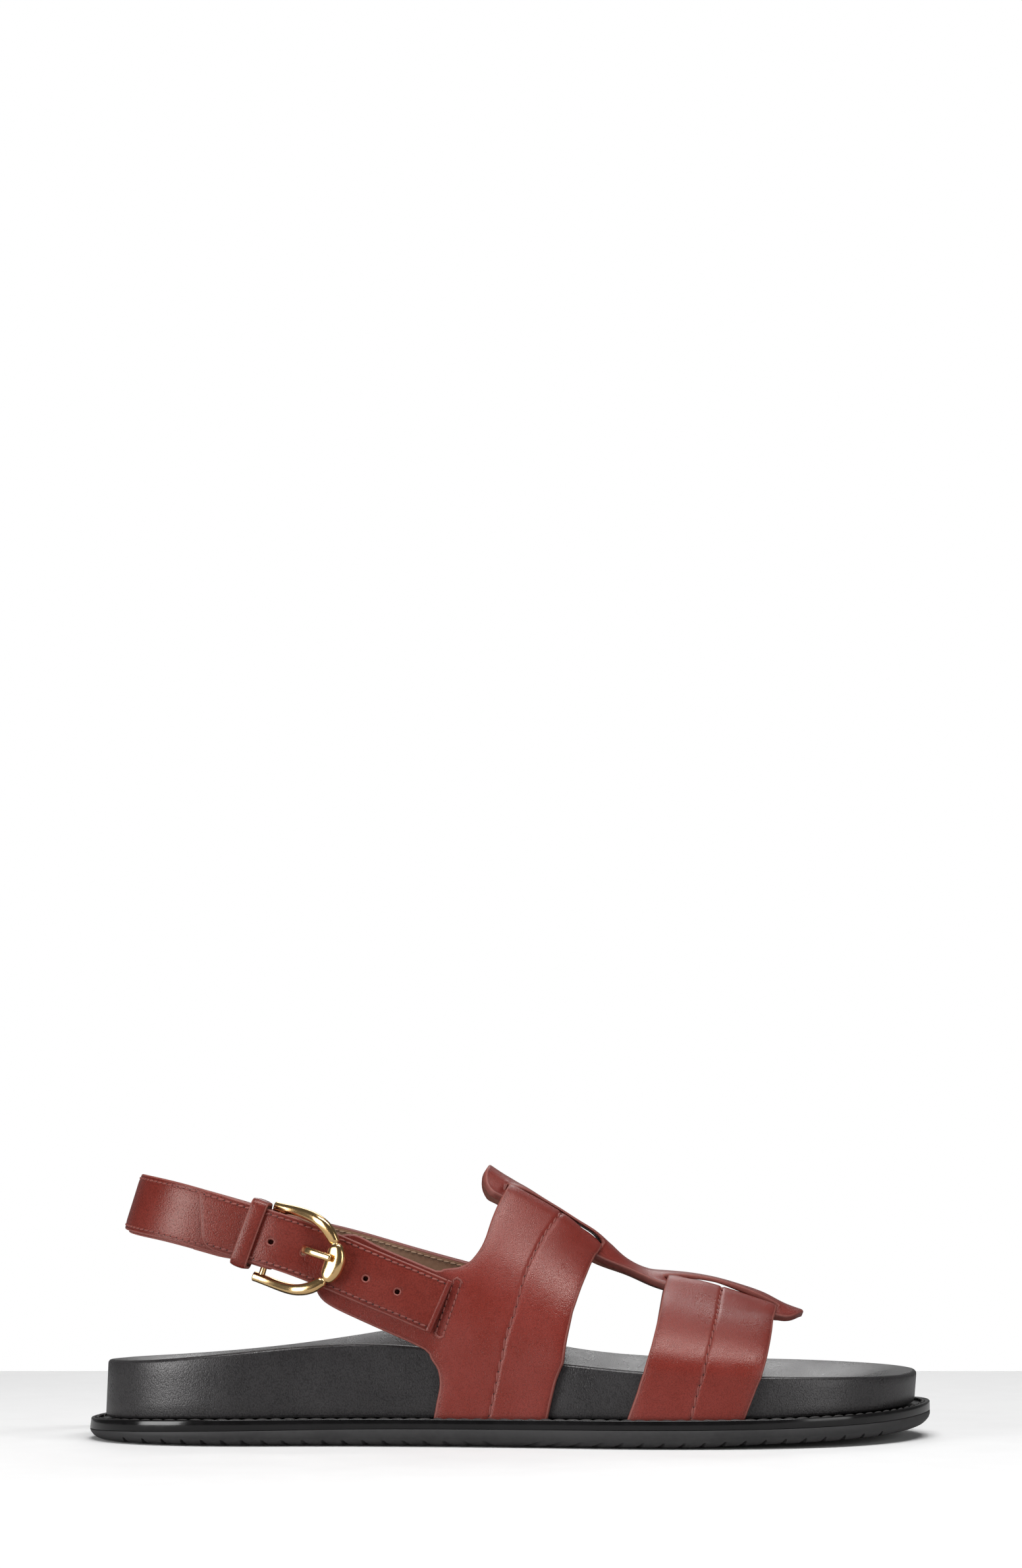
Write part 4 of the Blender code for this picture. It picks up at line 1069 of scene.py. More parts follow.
def outline_ring(outward):
    """Ring of the footbed's outline moved out along its normal; outward is a function of x."""
    ring = closed_outline(FOOTBED_OUTLINE, OUTLINE_POINTS)
    tangent = np.roll(ring, -1, axis=0) - np.roll(ring, 1, axis=0)
    normal = np.column_stack([tangent[:, 1], -tangent[:, 0]])
    normal /= np.linalg.norm(normal, axis=1)[:, None]
    return ring + normal * np.array([outward(x) for x in ring[:, 0]])[:, None]


def level(ring, height):
    """Ring with its heights given by a function of x."""
    return np.column_stack([ring, [height(x) for x in ring[:, 0]]])


def sole_ring(inset, height):
    """Ring inside the sole's edge, with its heights given by a function of x."""
    return level(outline_ring(lambda x: sole_margin(x) - inset), height)


def welt_bottom(x):
    return welt_top(x) - welt_thickness(x)


def shoulder_setback(x):
    """How far the welt's shoulder steps back from its edge at this x."""
    setback, end, fade = SHOULDER_SETBACK
    return setback * smooth_step((end - x) / fade)


def groove_slant(x):
    """Angle of a groove from straight across, steeper towards the middle of the foot."""
    least, extra, fade = GROOVE_SLANT
    return math.radians(least + extra * max(0.0, 1 - abs(x) / fade))


def tread_spots():
    """Where each groove crosses the edge of the sole, its run inwards and its length."""
    full = outline_ring(sole_margin)
    half = OUTLINE_POINTS
    edges = {-1: full[: half + 1], 1: np.vstack([full[half:], full[:1]])[::-1]}
    stations = np.arange(*GROOVE_SPAN, GROOVE_PITCH)
    spots, runs, lengths = [], [], []
    for side, edge in edges.items():
        for x in stations[np.abs(stations) > GROOVE_MEETING]:
            slant = groove_slant(x)
            run = np.array([-np.sign(x) * math.sin(slant), -side * math.cos(slant), 0])
            reach = min(GROOVE_REACH, (abs(x) - GROOVE_MEETING / 2) / math.sin(slant))
            y = float(np.interp(x, edge[:, 0], edge[:, 1]))
            spots.append((x, y, sole_bottom(x)))
            runs.append(run)
            lengths.append(reach)
    return spots, runs, lengths


def tread_tree():
    """Sets one groove cutter on each point, along its run and stretched to its length."""
    tree, maker, given, result = new_geometry_tree("tread_grooves", [("Cutter", "Object", None)])
    cutter = maker.node("GeometryNodeObjectInfo", Object=given.outputs["Cutter"])
    run = maker.node("GeometryNodeInputNamedAttribute", {"data_type": "FLOAT_VECTOR"}, Name="run")
    reach = maker.node("GeometryNodeInputNamedAttribute", {"data_type": "FLOAT"}, Name="reach")
    turn = maker.node(
        "FunctionNodeAxesToRotation",
        {"primary_axis": "X", "secondary_axis": "Z"},
        i0=run.outputs[0],
        i1=(0.0, 0.0, 1.0),
    )
    placed = maker.node(
        "GeometryNodeInstanceOnPoints",
        Points=given.outputs["Geometry"],
        Instance=cutter.outputs["Geometry"],
        Rotation=turn.outputs[0],
        Scale=maker.vector(reach.outputs[0], 1.0, 1.0),
    )
    finish_tree(maker, placed.outputs[0], given.outputs["Material"], result)
    return tree


def make_outsole():
    """Rubber plate with a bevelled foot and a row of slanted grooves along each edge."""
    rings = [sole_ring(inset, lambda x: sole_bottom(x) + lift) for inset, lift in SOLE_FOOT]
    rings += [sole_ring(inset, lambda x: welt_bottom(x) - drop) for inset, drop in SOLE_SHOULDER]
    points, faces = ring_stack(rings)
    outsole = new_piece("outsole_rubber", points, faces, [SOLE_RUBBER])
    outline = [*GROOVE_PROFILE, *((-y, z) for y, z in GROOVE_PROFILE[-2::-1])]
    ends = [[(x, y, z) for y, z in outline] for x in GROOVE_ENDS]
    bar = new_piece("groove_cutter", *section_stack(ends), [])
    face_outwards(bar)
    spots, runs, lengths = tread_spots()
    seeds = new_piece("groove_spots", spots, [], [])
    set_vectors(seeds.data, "run", runs)
    reach = seeds.data.attributes.new("reach", "FLOAT", "POINT")
    reach.data.foreach_set("value", np.asarray(lengths, np.float32) * MM)
    grooves = grown(seeds, tread_tree(), "groove_cutters", Cutter=bar, Material=SOLE_RUBBER)
    cut = outsole.modifiers.new("tread", "BOOLEAN")
    cut.operation, cut.solver, cut.object = "DIFFERENCE", "EXACT", grooves
    solid = plain_mesh(outsole)
    outsole.modifiers.clear()
    outsole.data = solid
    for helper in (bar, grooves):
        bpy.data.objects.remove(helper, do_unlink=True)
    outsole.data.set_sharp_from_angle(angle=math.radians(40))
    dress(outsole, "rubber_outsole", "outsole")


def make_welt():
    """Glossy plate round the footbed, with a rounded edge and a channel for its stitches."""
    rings = [sole_ring(inset, lambda x: welt_bottom(x) + lift) for inset, lift in WELT_FOOT]
    for inset, drop in WELT_SHOULDER:
        ring = outline_ring(lambda x: sole_margin(x) - inset - shoulder_setback(x))
        rings.append(level(ring, lambda x: welt_top(x) - drop))
    rings += [sole_ring(inset, lambda x: welt_top(x) - drop) for inset, drop in WELT_CHANNEL]
    inset, drop = WELT_MIDDLE
    rings.append(level(outline_ring(lambda x: -inset), lambda x: welt_top(x) - drop))
    points, faces = ring_stack(rings)
    welt = new_piece("welt_plate", points, faces, [WELT_GLOSS])
    dress(welt, "welt_edge", "welt")


def blended_rim(x, y):
    """Rim height at a point of the outline, shared between the sides near the centre plane."""
    share = smooth_step((y + RIM_BLEND) / (2 * RIM_BLEND))
    return rims[-1](x) * (1 - share) + rims[1](x) * share


def make_footbed():
    """Leather-covered body with a rounded rim and a dish that follows the arch."""
    base = closed_outline(FOOTBED_OUTLINE, OUTLINE_POINTS)
    spine_x = np.clip(base[:, 0], *SPINE)
    spine_y = [(footbed_half_width(x, 1) - footbed_half_width(x, -1)) / 2 for x in spine_x]
    inward = np.column_stack([spine_x, spine_y]) - base
    inward /= np.linalg.norm(inward, axis=1)[:, None]
    rim = np.array([blended_rim(x, y) for x, y in base])
    foot = np.array([welt_top(x) for x in base[:, 0]])
    lean = np.array([footbed_lean(x) for x in base[:, 0]])
    rings = []
    for inset, lift in FOOTBED_FOOT:
        rings.append(np.column_stack([base + inward * inset, foot + lift]))
    foot = rings[-1][:, 2]
    for share in (0.25, 0.5, 0.75, 1.0):
        height = foot + (rim - RIM_RADIUS - foot) * share
        rings.append(np.column_stack([base + inward * (lean * share)[:, None], height]))
    for angle in (22.5, 45, 67.5):
        turn = math.radians(angle)
        inset = lean + RIM_RADIUS * (1 - math.cos(turn))
        height = rim - RIM_RADIUS * (1 - math.sin(turn))
        rings.append(np.column_stack([base + inward * inset[:, None], height]))
    dish = eased(DISH, 1)
    for inset in DISH_INSETS:
        flat = base + inward * (lean + inset)[:, None]
        floor = np.array([footbed_floor(x) for x in flat[:, 0]])
        rings.append(np.column_stack([flat, floor + (rim - floor) * dish(inset)]))
    points, faces = ring_stack(rings)
    footbed = new_piece("footbed_body", points, faces, [FOOTBED_LEATHER])
    dress(footbed, "footbed_cover", "footbed")


# ---------------------------------------------------------------- upper


def end_rounding(x):
    """Share of the strip's half width left by its rounded toe end."""
    start, power = TOE_ROUND
    if x > start:
        depth = (x - start) / (STRIP[-1][0] + 0.05 - start)
        return max(1 - depth**power, 0.02) ** (1 / power)
    return 1.0


def in_bands(x):
    """1 where a band lies under the strip at this station, fading to 0 past its edges."""
    for table in (INSTEP_BAND, FOREFOOT_BAND):
        turns = [row[0] for row in table]
        rear, front = (np.interp(STRIP_TURN, turns, [row[k] for row in table]) for k in (1, 2))
        inside = min(x - rear, front - x)
        if inside > -BAND_FADE:
            return min(1.0, 1 + inside / BAND_FADE)
    return 0.0


def strip_frame(x):
    """Ridge point and upward normal of the strip at a station."""
    tilt = math.atan(ridge_height(x - 0.5) - ridge_height(x + 0.5))
    normal = np.array([math.sin(tilt), 0.0, math.cos(tilt)])
    return np.array([x, ridge_side(x), ridge_height(x)]), normal


def strip_point(x, across, height):
    """Point of the strip: across is the distance from its middle along the rolled surface."""
    ridge, normal = strip_frame(x)
    roll = strip_roll(x) * (MEDIAL_ROLL if across > 0 else 1)
    turned = across / roll
    sideways = np.array([0.0, math.sin(turned), 0.0])
    radial = sideways + normal * math.cos(turned)
    return ridge - normal * roll + radial * (roll + height)


def strip_height(x, share):
    """Lift of the strip's inner face; share is the distance across over the half width."""
    share = abs(share)
    arch = 1.0 if share <= SLIT[0] + 1e-6 else 0.0
    mound = smooth_step((MOUND[0] - share) / MOUND[1])
    woven = smooth_step(in_bands(x))
    slim = 1 - strip_slimness(x)
    level_out = slim * (share * strip_half_width(x)) ** 2 / strip_roll(x)
    raised = strip_lift(x) + STRIP_WALL * slim + level_out
    if in_bands(x) < 0.9:
        return strip_lift(x) * mound
    return raised * arch * woven + strip_lift(x) * mound * (1 - woven)


STRIP_STATIONS = 110
STRIP_CROWDING = 0.5


def upper_shell(name, points, faces, wall, thin):
    skins = (UPPER_LINING, UPPER_LEATHER)
    leather_shell(name, "upper_leather", "upper", points, faces, wall, skins, thin)


def make_centre_strip():
    """Strip with two slits on each side, through which the bands are woven."""
    even = np.linspace(0, 1, STRIP_STATIONS + 1)
    crowded = even - STRIP_CROWDING * np.sin(2 * math.pi * even) / (2 * math.pi)
    stations = STRIP[0][0] + (STRIP[-1][0] - STRIP[0][0]) * crowded
    half_shares = [0.0, 0.12, 0.24, 0.36, 0.47, 0.55, *SLIT, 0.79, 0.86, 0.93, 1.0]
    shares = [-share for share in half_shares[:0:-1]] + half_shares
    slit_columns = (shares.index(-SLIT[1]), shares.index(SLIT[0]))
    rows, thin = [], []
    slits = set()
    for index, x in enumerate(stations):
        left = end_rounding(x)
        half = strip_half_width(x) - EDGE_ROUNDING
        slim = strip_slimness(x) if in_bands(x) >= 0.9 else 1.0
        thin += [slim if abs(share) <= SLIT[0] + 1e-6 else 1.0 for share in shares]
        behind = max(TONGUE_START - x, 0.0) / (TONGUE_START - STRIP[0][0])
        row = []
        for share in shares:
            corner = TONGUE_CORNER * max((abs(share) - 0.45) / 0.55, 0.0) ** 2
            station = x + (TONGUE_CUT + corner) * behind
            row.append(strip_point(station, share * left * half, strip_height(x, share * left)))
        rows.append(row)
        after = stations[min(index + 1, STRIP_STATIONS)]
        if in_bands((x + after) / 2) >= 0.9:
            slits |= {(index, slot) for slot in slit_columns}
    rows = np.array(rows)
    faces = [face[::-1] for face in grid_faces(*rows.shape[:2], left_out=slits)]
    upper_shell("centre_strip", rows, faces, STRIP_WALL, thin)


def rail_rise(point, normal):
    """How far a band stands off the last here to pass over the strip's rail."""
    station = point[0]
    for _ in range(5):
        ridge, up = strip_frame(station)
        forward = np.array([up[2], 0.0, -up[0]])
        station += float((point - ridge) @ forward) * forward[0]
    ridge, up = strip_frame(station)
    roll = strip_roll(station) * (MEDIAL_ROLL if point[1] > ridge[1] else 1)
    across = roll * math.asin(max(-0.99, min(0.99, (point[1] - ridge[1]) / roll)))
    half = strip_half_width(station)
    top = strip_point(station, across, STRIP_WALL) - point
    clear = max(float(top @ normal), 0.0)
    over = max(abs(across) - half, 0.0)
    inner = smooth_step(1 - (SLIT[1] * half + CLIMB[0] - abs(across)) / CLIMB[1])
    lift = fold_lift(station)
    sunk = min(lift, 0.0)
    if across < 0:
        rise = (clear + lift) * max(1 - over / FOLD_RAMP, 0.0) ** 2
    else:
        rise = (clear + 2 * sunk) * smooth_step(1 - over / MEDIAL_RAMP)
    return rise * inner + SUNK_SHARE * sunk * (1 - inner)


# A band's rows, in runs between two turns, with the number of rows in each.
TURN_RUNS = ((0, 1, 22), (1, 1.6, 26), (1.6, 2.4, 46), (2.4, 3, 26), (3, 4, 22))


def band_turns(extra=()):
    """Turns of a band's rows: even steps, finer where it climbs over the strip."""
    runs = [np.linspace(*run) for run in TURN_RUNS]
    turns = np.unique(np.round(np.concatenate([*runs, extra]), 5))
    keep = [turns[0]]
    for turn in turns[1:]:
        if turn - keep[-1] > 0.006:
            keep.append(turn)
        elif any(abs(turn - t) < 1e-6 for t in extra):
            keep[-1] = turn
    return keep


def band_columns(rear, seam, front):
    """Positions across a band: even, with close columns at its seam."""
    near = (2.2, 1.3, 0.75, 0.35)
    low = np.linspace(rear + EDGE_ROUNDING, seam - near[0], 9)[:-1]
    high = np.linspace(seam + near[0], front - EDGE_ROUNDING, 9)[1:]
    middle = [seam - step for step in near] + [seam] + [seam + step for step in near[::-1]]
    return [*low, *middle, *high]


# Share of a band's thickness by the distance from its seam.
SEAM_DIP = {0.0: 0.84, 0.35: 0.92, 0.75: 1.0, 1.3: 1.01, 2.2: 1.0}
# Share by which a band is thinner at its edges, and how far that reaches.
BAND_THINNING = (0.12, 3.0)


def band_sheet(table, seam_table, turns):
    """Rows of a band's inner face from the lateral welt over the ridge, with its thickness."""
    rear, front, seam = eased(table, 1), eased(table, 2), eased(seam_table, 1)
    rows, thin = [], []
    for turn in turns:
        row, share = [], []
        middle = seam(turn)
        for x in band_columns(rear(turn), middle, front(turn)):
            point = last_point(x, turn)
            normal = last_normal(x, turn)
            row.append(point + normal * rail_rise(point, normal))
            near = np.interp(abs(x - middle), list(SEAM_DIP), list(SEAM_DIP.values()))
            edge = min(x - rear(turn), front(turn) - x)
            thinning, reach = BAND_THINNING
            share.append(near * (1 - thinning * smooth_step(1 - edge / reach)))
        rows.append(row)
        thin.append(share)
    return np.array(rows), np.array(thin)


TAB_COLUMNS = 20


def make_instep_band():
    """Band over the instep, with the side tab that backs the buckle strap."""
    turns = band_turns(TAB_ROOT)
    rows, thin = band_sheet(INSTEP_BAND, INSTEP_SEAM, turns)
    count, across = rows.shape[:2]
    faces = grid_faces(count, across)
    points = [point for row in rows for point in row]
    weights = list(thin.reshape(-1))
    first, last = (int(np.argmin(np.abs(np.array(turns) - turn))) for turn in TAB_ROOT)
    root = [rows[row][0] for row in range(first, last + 1)]
    low_z, high_z = root[0][2], root[-1][2]
    spots = [(0.0, root[0][0], low_z, root[-1][0], high_z, 0.0)]
    spots += [(k + 1.0, *row) for k, row in enumerate(TAB)]
    tables = [spline([s[0] for s in spots], [s[k] for s in spots]) for k in range(1, 6)]
    indices = [[row * across for row in range(first, last + 1)]]
    shares = [(point[2] - low_z) / (high_z - low_z) for point in root]
    for step in range(1, TAB_COLUMNS + 1):
        low_x, low, high_x, high, bulge = (f(step / TAB_COLUMNS * len(TAB)) for f in tables)
        own = []
        for share in shares:
            inner = 0.03 + 0.94 * share
            x = low_x + (high_x - low_x) * inner - bulge * 4 * inner * (1 - inner)
            z = low + (high - low) * inner
            own.append(len(points))
            points.append(last_point(x, turn_at_height(x, z)))
            weights.append(0.95)
        indices.append(own)
    for ahead, behind in zip(indices, indices[1:]):
        for step in range(len(root) - 1):
            faces.append((behind[step], ahead[step], ahead[step + 1], behind[step + 1]))
    upper_shell("instep_band", points, faces, BAND_WALL, weights)


def make_forefoot_band():
    rows, thin = band_sheet(FOREFOOT_BAND, FOREFOOT_SEAM, band_turns())
    upper_shell("forefoot_band", rows, grid_faces(*rows.shape[:2]), BAND_WALL, thin)


# ---------------------------------------------------------------- stitches


def stitch_tree():
    """Lays one padded stitch at every pitch along the seeds' lines, turned to their up vector."""
    tree, maker, given, result = new_geometry_tree(
        "stitch_run",
        [
            ("Pitch", "Float", 0.002),
            ("Length", "Float", 0.0017),
            ("Width", "Float", 0.0006),
            ("Height", "Float", 0.0005),
            ("Slant", "Float", 0.0),
            ("Unevenness", "Float", 0.06),
            ("Seed", "Int", 1),
        ],
    )
    curve = maker.node("GeometryNodeMeshToCurve", Mesh=given.outputs["Geometry"])
    spaced = maker.node(
        "GeometryNodeResampleCurve",
        {"mode": "LENGTH"},
        Curve=curve.outputs[0],
        Length=given.outputs["Pitch"],
    )
    up = maker.node("GeometryNodeInputNamedAttribute", {"data_type": "FLOAT_VECTOR"}, Name="up")
    turn = maker.node(
        "FunctionNodeAxesToRotation",
        {"primary_axis": "X", "secondary_axis": "Z"},
        i0=maker.node("GeometryNodeInputTangent").outputs[0],
        i1=up.outputs[0],
    )
    bead = maker.node("GeometryNodeMeshUVSphere", Segments=6, Rings=6, Radius=0.5)
    lying = maker.node(
        "GeometryNodeTransform", Geometry=bead.outputs[0], Rotation=(0.0, math.pi / 2, 0.0)
    )
    stitch = maker.node(
        "GeometryNodeTransform",
        Geometry=lying.outputs[0],
        Rotation=maker.vector(0.0, 0.0, given.outputs["Slant"]),
        Scale=maker.vector(*(given.outputs[key] for key in ("Length", "Width", "Height"))),
    )
    uneven = maker.node("FunctionNodeRandomValue", {"data_type": "FLOAT_VECTOR"})
    for end, operation in enumerate(("SUBTRACT", "ADD")):
        share = maker.math(operation, 1.0, given.outputs["Unevenness"])
        maker.tree.links.new(maker.vector(share, share, share), uneven.inputs[end])
    maker.tree.links.new(given.outputs["Seed"], uneven.inputs["Seed"])
    placed = maker.node(
        "GeometryNodeInstanceOnPoints",
        Points=spaced.outputs[0],
        Instance=stitch.outputs[0],
        Rotation=turn.outputs[0],
        Scale=uneven.outputs[0],
    )
    finish_tree(maker, placed.outputs[0], given.outputs["Material"], result)
    return tree


STITCH_RUN = stitch_tree()


# Rows of stitches: pitch, length, width, height and slant.
SEAM_ROW = (3.25, 3.4, 0.8, 0.8, 0.2)
SLIT_ROW = (1.9, 1.8, 0.75, 0.6, 0.14)
HEEL_ROW = (2.15, 2.0, 0.72, 0.6, 0.12)
BUCKLE_ROW = (2.15, 2.0, 0.72, 0.6, 0.14)
WELT_ROW = (4.1, 4.2, 1.15, 1.0, 0.14)
# Length, width and height of each needle hole's flat disc of painted shade.
HOLE_SHADE_SIZE = (0.5, 0.55, 0.16)
# How deep in the leather each row lies, as a share of its thickness from the inner face.
SEAM_LEVEL, SLIT_LEVEL, HEEL_LEVEL, BUCKLE_LEVEL = 0.86, 0.98, 0.93, 0.94
# Turns at which each seam starts and ends on either side of the strip.
SEAMS = (
    ("instep_seam", INSTEP_SEAM, (0.04, 1.86), (2.2, 3.96)),
    ("forefoot_seam", FOREFOOT_SEAM, (0.04, 1.835), (2.22, 3.96)),
)
# Distance of a strap's stitches from its edge.
ROW_INSET = 0.95


def lay_stitches(name, lines, thread, slot, row, seed=1):
    """Stitches along lines of (point, up) pairs, with discs of painted shade as needle holes."""
    pitch, *stitch, slant = row
    # The holes are flat discs in a dark finish, painted shade of the needle holes: tan-brown in the
    # lining, dark brown elsewhere.
    hole = LINING_HOLE_SHADE if thread is TAN_THREAD else NEEDLE_HOLE_SHADE
    kinds = (("stitches", 0.5, stitch, slant, thread), ("holes", 0.0, HOLE_SHADE_SIZE, 0.0, hole))
    for kind, inset, size, lean, material in kinds:
        points, ups, edges = [], [], []
        for line in lines:
            spots = np.array([spot for spot, _ in line])
            turns = np.array([up for _, up in line])
            run = chord_knots(spots)
            count = max(int(round(run[-1] / pitch)), 2)
            margin = inset * run[-1] / count
            even = np.linspace(margin, run[-1] - margin, 6 * count)
            first = len(points)
            points += list(np.column_stack([np.interp(even, run, spots[:, k]) for k in range(3)]))
            ups += list(np.column_stack([np.interp(even, run, turns[:, k]) for k in range(3)]))
            edges += [(k, k + 1) for k in range(first, len(points) - 1)]
        seeds = new_piece(f"{name}_line", points, [], [])
        seeds.data.edges.add(len(edges))
        seeds.data.edges.foreach_set("vertices", np.asarray(edges, np.int32).reshape(-1))
        set_vectors(seeds.data, "up", ups)
        made = grown(
            seeds,
            STITCH_RUN,
            f"{name}_{kind}",
            Pitch=pitch * MM,
            Length=size[0] * MM,
            Width=size[1] * MM,
            Height=size[2] * MM,
            Slant=lean,
            Seed=seed,
            Material=material,
        )
        dress(made, slot)


def band_skin(x, turn, share):
    """Point in a band's wall at this share of its thickness, and its normal."""
    point, normal = last_point(x, turn), last_normal(x, turn)
    return point + normal * (rail_rise(point, normal) + BAND_WALL * share), normal


def stitch_seams():
    """Seam down the middle of each band, on both sides of the strip."""
    for name, seam, *spans in SEAMS:
        middle = eased(seam, 1)
        lines = []
        for span in spans:
            turns = np.linspace(*span, 60)
            lines.append([band_skin(middle(turn), turn, SEAM_LEVEL) for turn in turns])
        lay_stitches(name, lines, RED_THREAD, "upper_leather", SEAM_ROW)


def stitch_slit_box():
    """Two close rows that hold the buckle strap inside the band."""
    corners = [np.array(corner) for corner in SLIT_BOX]
    lines = []
    for start, end in zip(corners, corners[1:]):
        spots = [start + (end - start) * share for share in np.linspace(0, 1, 12)]
        lines.append([band_skin(x, turn_at_height(x, z), SLIT_LEVEL) for x, z in spots])
    lay_stitches("slit_box", lines, RED_THREAD, "upper_leather", SLIT_ROW)


# Half width and half height of the slit's lip.
LIP_HALF = (0.95, 0.5)


def make_slit_lip():
    """Rounded leather lip of the band's slit, over the start of the buckle strap."""
    centre, up, outward = buckle_strap_frame(0.35)
    run = unit(buckle_line(0.7) - buckle_line(0.1))
    sections = []
    for share in np.linspace(-1, 1, 40):
        thick = LIP_HALF[1] * (0.4 + 0.6 * smooth_step((1 - abs(share)) / 0.15))
        high = share * (BUCKLE_STRAP_WIDTH / 2)
        middle = centre + up * high + outward * (BUCKLE_STRAP_WALL * 0.92)
        ring = [run * LIP_HALF[0] * x + outward * thick * y for x, y in round_steps(12)]
        sections.append([middle + spot for spot in ring])
    section_piece("slit_lip", sections, UPPER_LEATHER, "upper_leather")


def stitch_heel_strap():
    outer, inner = [], []
    for side in (-1, 1):
        face, back = [], []
        for distance in np.linspace(3.0, HEEL_LENGTH - 1.0, 200):
            middle, up, outward, below, above = heel_frame(distance)
            spot = middle + up * side * ((below if side < 0 else above) - ROW_INSET)
            face.append((spot + outward * (LINING_WALL + OUTER_WALL * HEEL_LEVEL), outward))
            if distance > FOLD_LENGTH + 2:
                back.append((spot, -outward))
        outer.append(face)
        inner.append(back)
    lay_stitches("heel_strap_edge", outer, RED_THREAD, "strap_leather", HEEL_ROW)
    lay_stitches("heel_strap_inside", inner, TAN_THREAD, "strap_leather", HEEL_ROW, 2)


def stitch_buckle_strap():
    """One row round the strap, down its slanted tip and back."""
    half = BUCKLE_STRAP_WIDTH / 2 - STRAP_MARGIN
    edge = half - ROW_INSET

    def skin(distance, across):
        centre, up, outward = buckle_strap_frame(distance)
        return centre + up * across + outward * BUCKLE_STRAP_WALL * BUCKLE_LEVEL, outward

    last_low = BUCKLE_LENGTH - tip_short(-0.78, half) - 1.5
    last_high = BUCKLE_LENGTH - tip_short(0.8, half) - 1.3
    low = [skin(d, -edge) for d in np.linspace(1.5, last_low, 80)]
    tip = []
    for share in np.linspace(0, 1, 20):
        tip.append(skin(last_low + (last_high - last_low) * share, -edge + 2 * edge * share))
    high = [skin(d, edge) for d in np.linspace(last_high, 1.5, 80)]
    lines = [low, tip, high]
    lay_stitches("buckle_strap_edge", lines, RED_THREAD, "strap_leather", BUCKLE_ROW, 3)


def stitch_welt():
    """Rope-like row of long black stitches in the welt's channel."""
    inset, drop = WELT_STITCHES
    ring = sole_ring(inset, lambda x: welt_top(x) - drop)
    line = [(point, np.array([0.0, 0.0, 1.0])) for point in [*ring, ring[0]]]
    lay_stitches("welt_row", [line], BLACK_THREAD, "welt_edge", WELT_ROW, 4)


# ---------------------------------------------------------------- straps


def strap_up(tangent, tilt, lean):
    """Direction across a strap, square to its run."""
    tangent = unit(tangent)
    up = np.array([math.sin(tilt), lean, math.cos(tilt)])
    return unit(up - (up @ tangent) * tangent)


heel_curve, HEEL_LENGTH = path(HEEL_STRAP)
heel_line, _ = path([row[:3] for row in HEEL_STRAP])


def heel_frame(distance):
    """Inner face's centre, up, outwards and half widths of the heel strap at a distance."""
    inside = min(max(distance, 0.0), HEEL_LENGTH)
    *middle, lean, extra = heel_curve(inside)
    run = unit(heel_line(inside + 0.3) - heel_line(inside - 0.3))
    up = strap_up(run, HEEL_STRAP_TILT, lean)
    outward = unit(np.cross(up, run))
    half = HEEL_STRAP_WIDTH / 2 - STRAP_MARGIN
    return np.array(middle) + run * (distance - inside), up, outward, half + extra, half


STRAP_SHARES = (-1, -0.93, -0.84, -0.72, -0.5, -0.25, 0, 0.25, 0.5, 0.72, 0.84, 0.93, 1)
# Half the play between the outer strap's two layers.
LAYER_PLAY = 0.02
# Share by which a strap is thinner at its edges, and the shares of its half width where that
# starts and over which it grows.
STRAP_THINNING = (0.14, 0.7, 0.3)


def thinned(share):
    """Share of a strap's thickness at this share of its half width."""
    thinning, start, run = STRAP_THINNING
    return 1 - thinning * smooth_step((abs(share) - start) / run)


def heel_row(centre, up, below, above):
    return [centre + up * (s * (below if s < 0 else above)) for s in STRAP_SHARES]


def make_heel_strap():
    """Outer strap that folds round the crossbar, and the lining inside it."""
    wrap = CROSSBAR_RADIUS + 0.18
    mid = (LINING_WALL + OUTER_WALL) / 2
    track = [(d, -LAYER_PLAY) for d in np.linspace(FOLD_LENGTH, 5.0, 12)]
    track += [(d, -out) for d, out in FOLD_THROAT]
    turns = [math.radians(angle) for angle in range(60, 301, 24)]
    track += [(wrap * math.cos(turn), -wrap * math.sin(turn)) for turn in turns]
    track += FOLD_THROAT[::-1]
    track += [(d, LAYER_PLAY) for d in [5.0, *np.linspace(6.5, HEEL_LENGTH, 130)]]
    rows = []
    for distance, out in track:
        middle, up, outward, below, above = heel_frame(distance)
        if out == -LAYER_PLAY:
            below += LOWER_LAYER * smooth_step((distance - LOWER_START[0]) / LOWER_START[1])
        rows.append(heel_row(middle + outward * (mid + out), up, below, above))
    rows = np.array(rows)
    thin = [[thinned(share) for share in STRAP_SHARES]] * len(rows)
    slot = set()
    for r, (distance, _) in enumerate(track[:-1]):
        if max(abs(distance), abs(track[r + 1][0])) < PRONG_SLOT and 8 < r < 40:
            slot |= {(r, 6), (r, 7)}
    leather_shell(
        "heel_strap_leather",
        "strap_leather",
        "heel_strap",
        rows,
        grid_faces(*rows.shape[:2], left_out=slot),
        OUTER_WALL - 0.05,
        (EDGE_PAINT, STRAP_LEATHER),
        thin,
        0.5,
        0.25,
    )
    rows = []
    for distance in np.linspace(FOLD_LENGTH + 0.1, HEEL_LENGTH, 120):
        middle, up, outward, below, above = heel_frame(distance)
        below += LOWER_LAYER * smooth_step((LOWER_END[0] - distance) / LOWER_END[1])
        rows.append(heel_row(middle, up, below, above))
    leather_shell(
        "heel_strap_lining",
        "strap_leather",
        "heel_strap",
        rows,
        grid_faces(len(rows), len(STRAP_SHARES)),
        LINING_WALL,
        (STRAP_LINING, STRAP_LEATHER),
        1.0,
        0.4,
        0.4,
    )


buckle_line_points = np.array([row[:3] for row in BUCKLE_STRAP])
buckle_line, BUCKLE_LENGTH = path(buckle_line_points)
buckle_knots = chord_knots(buckle_line_points)


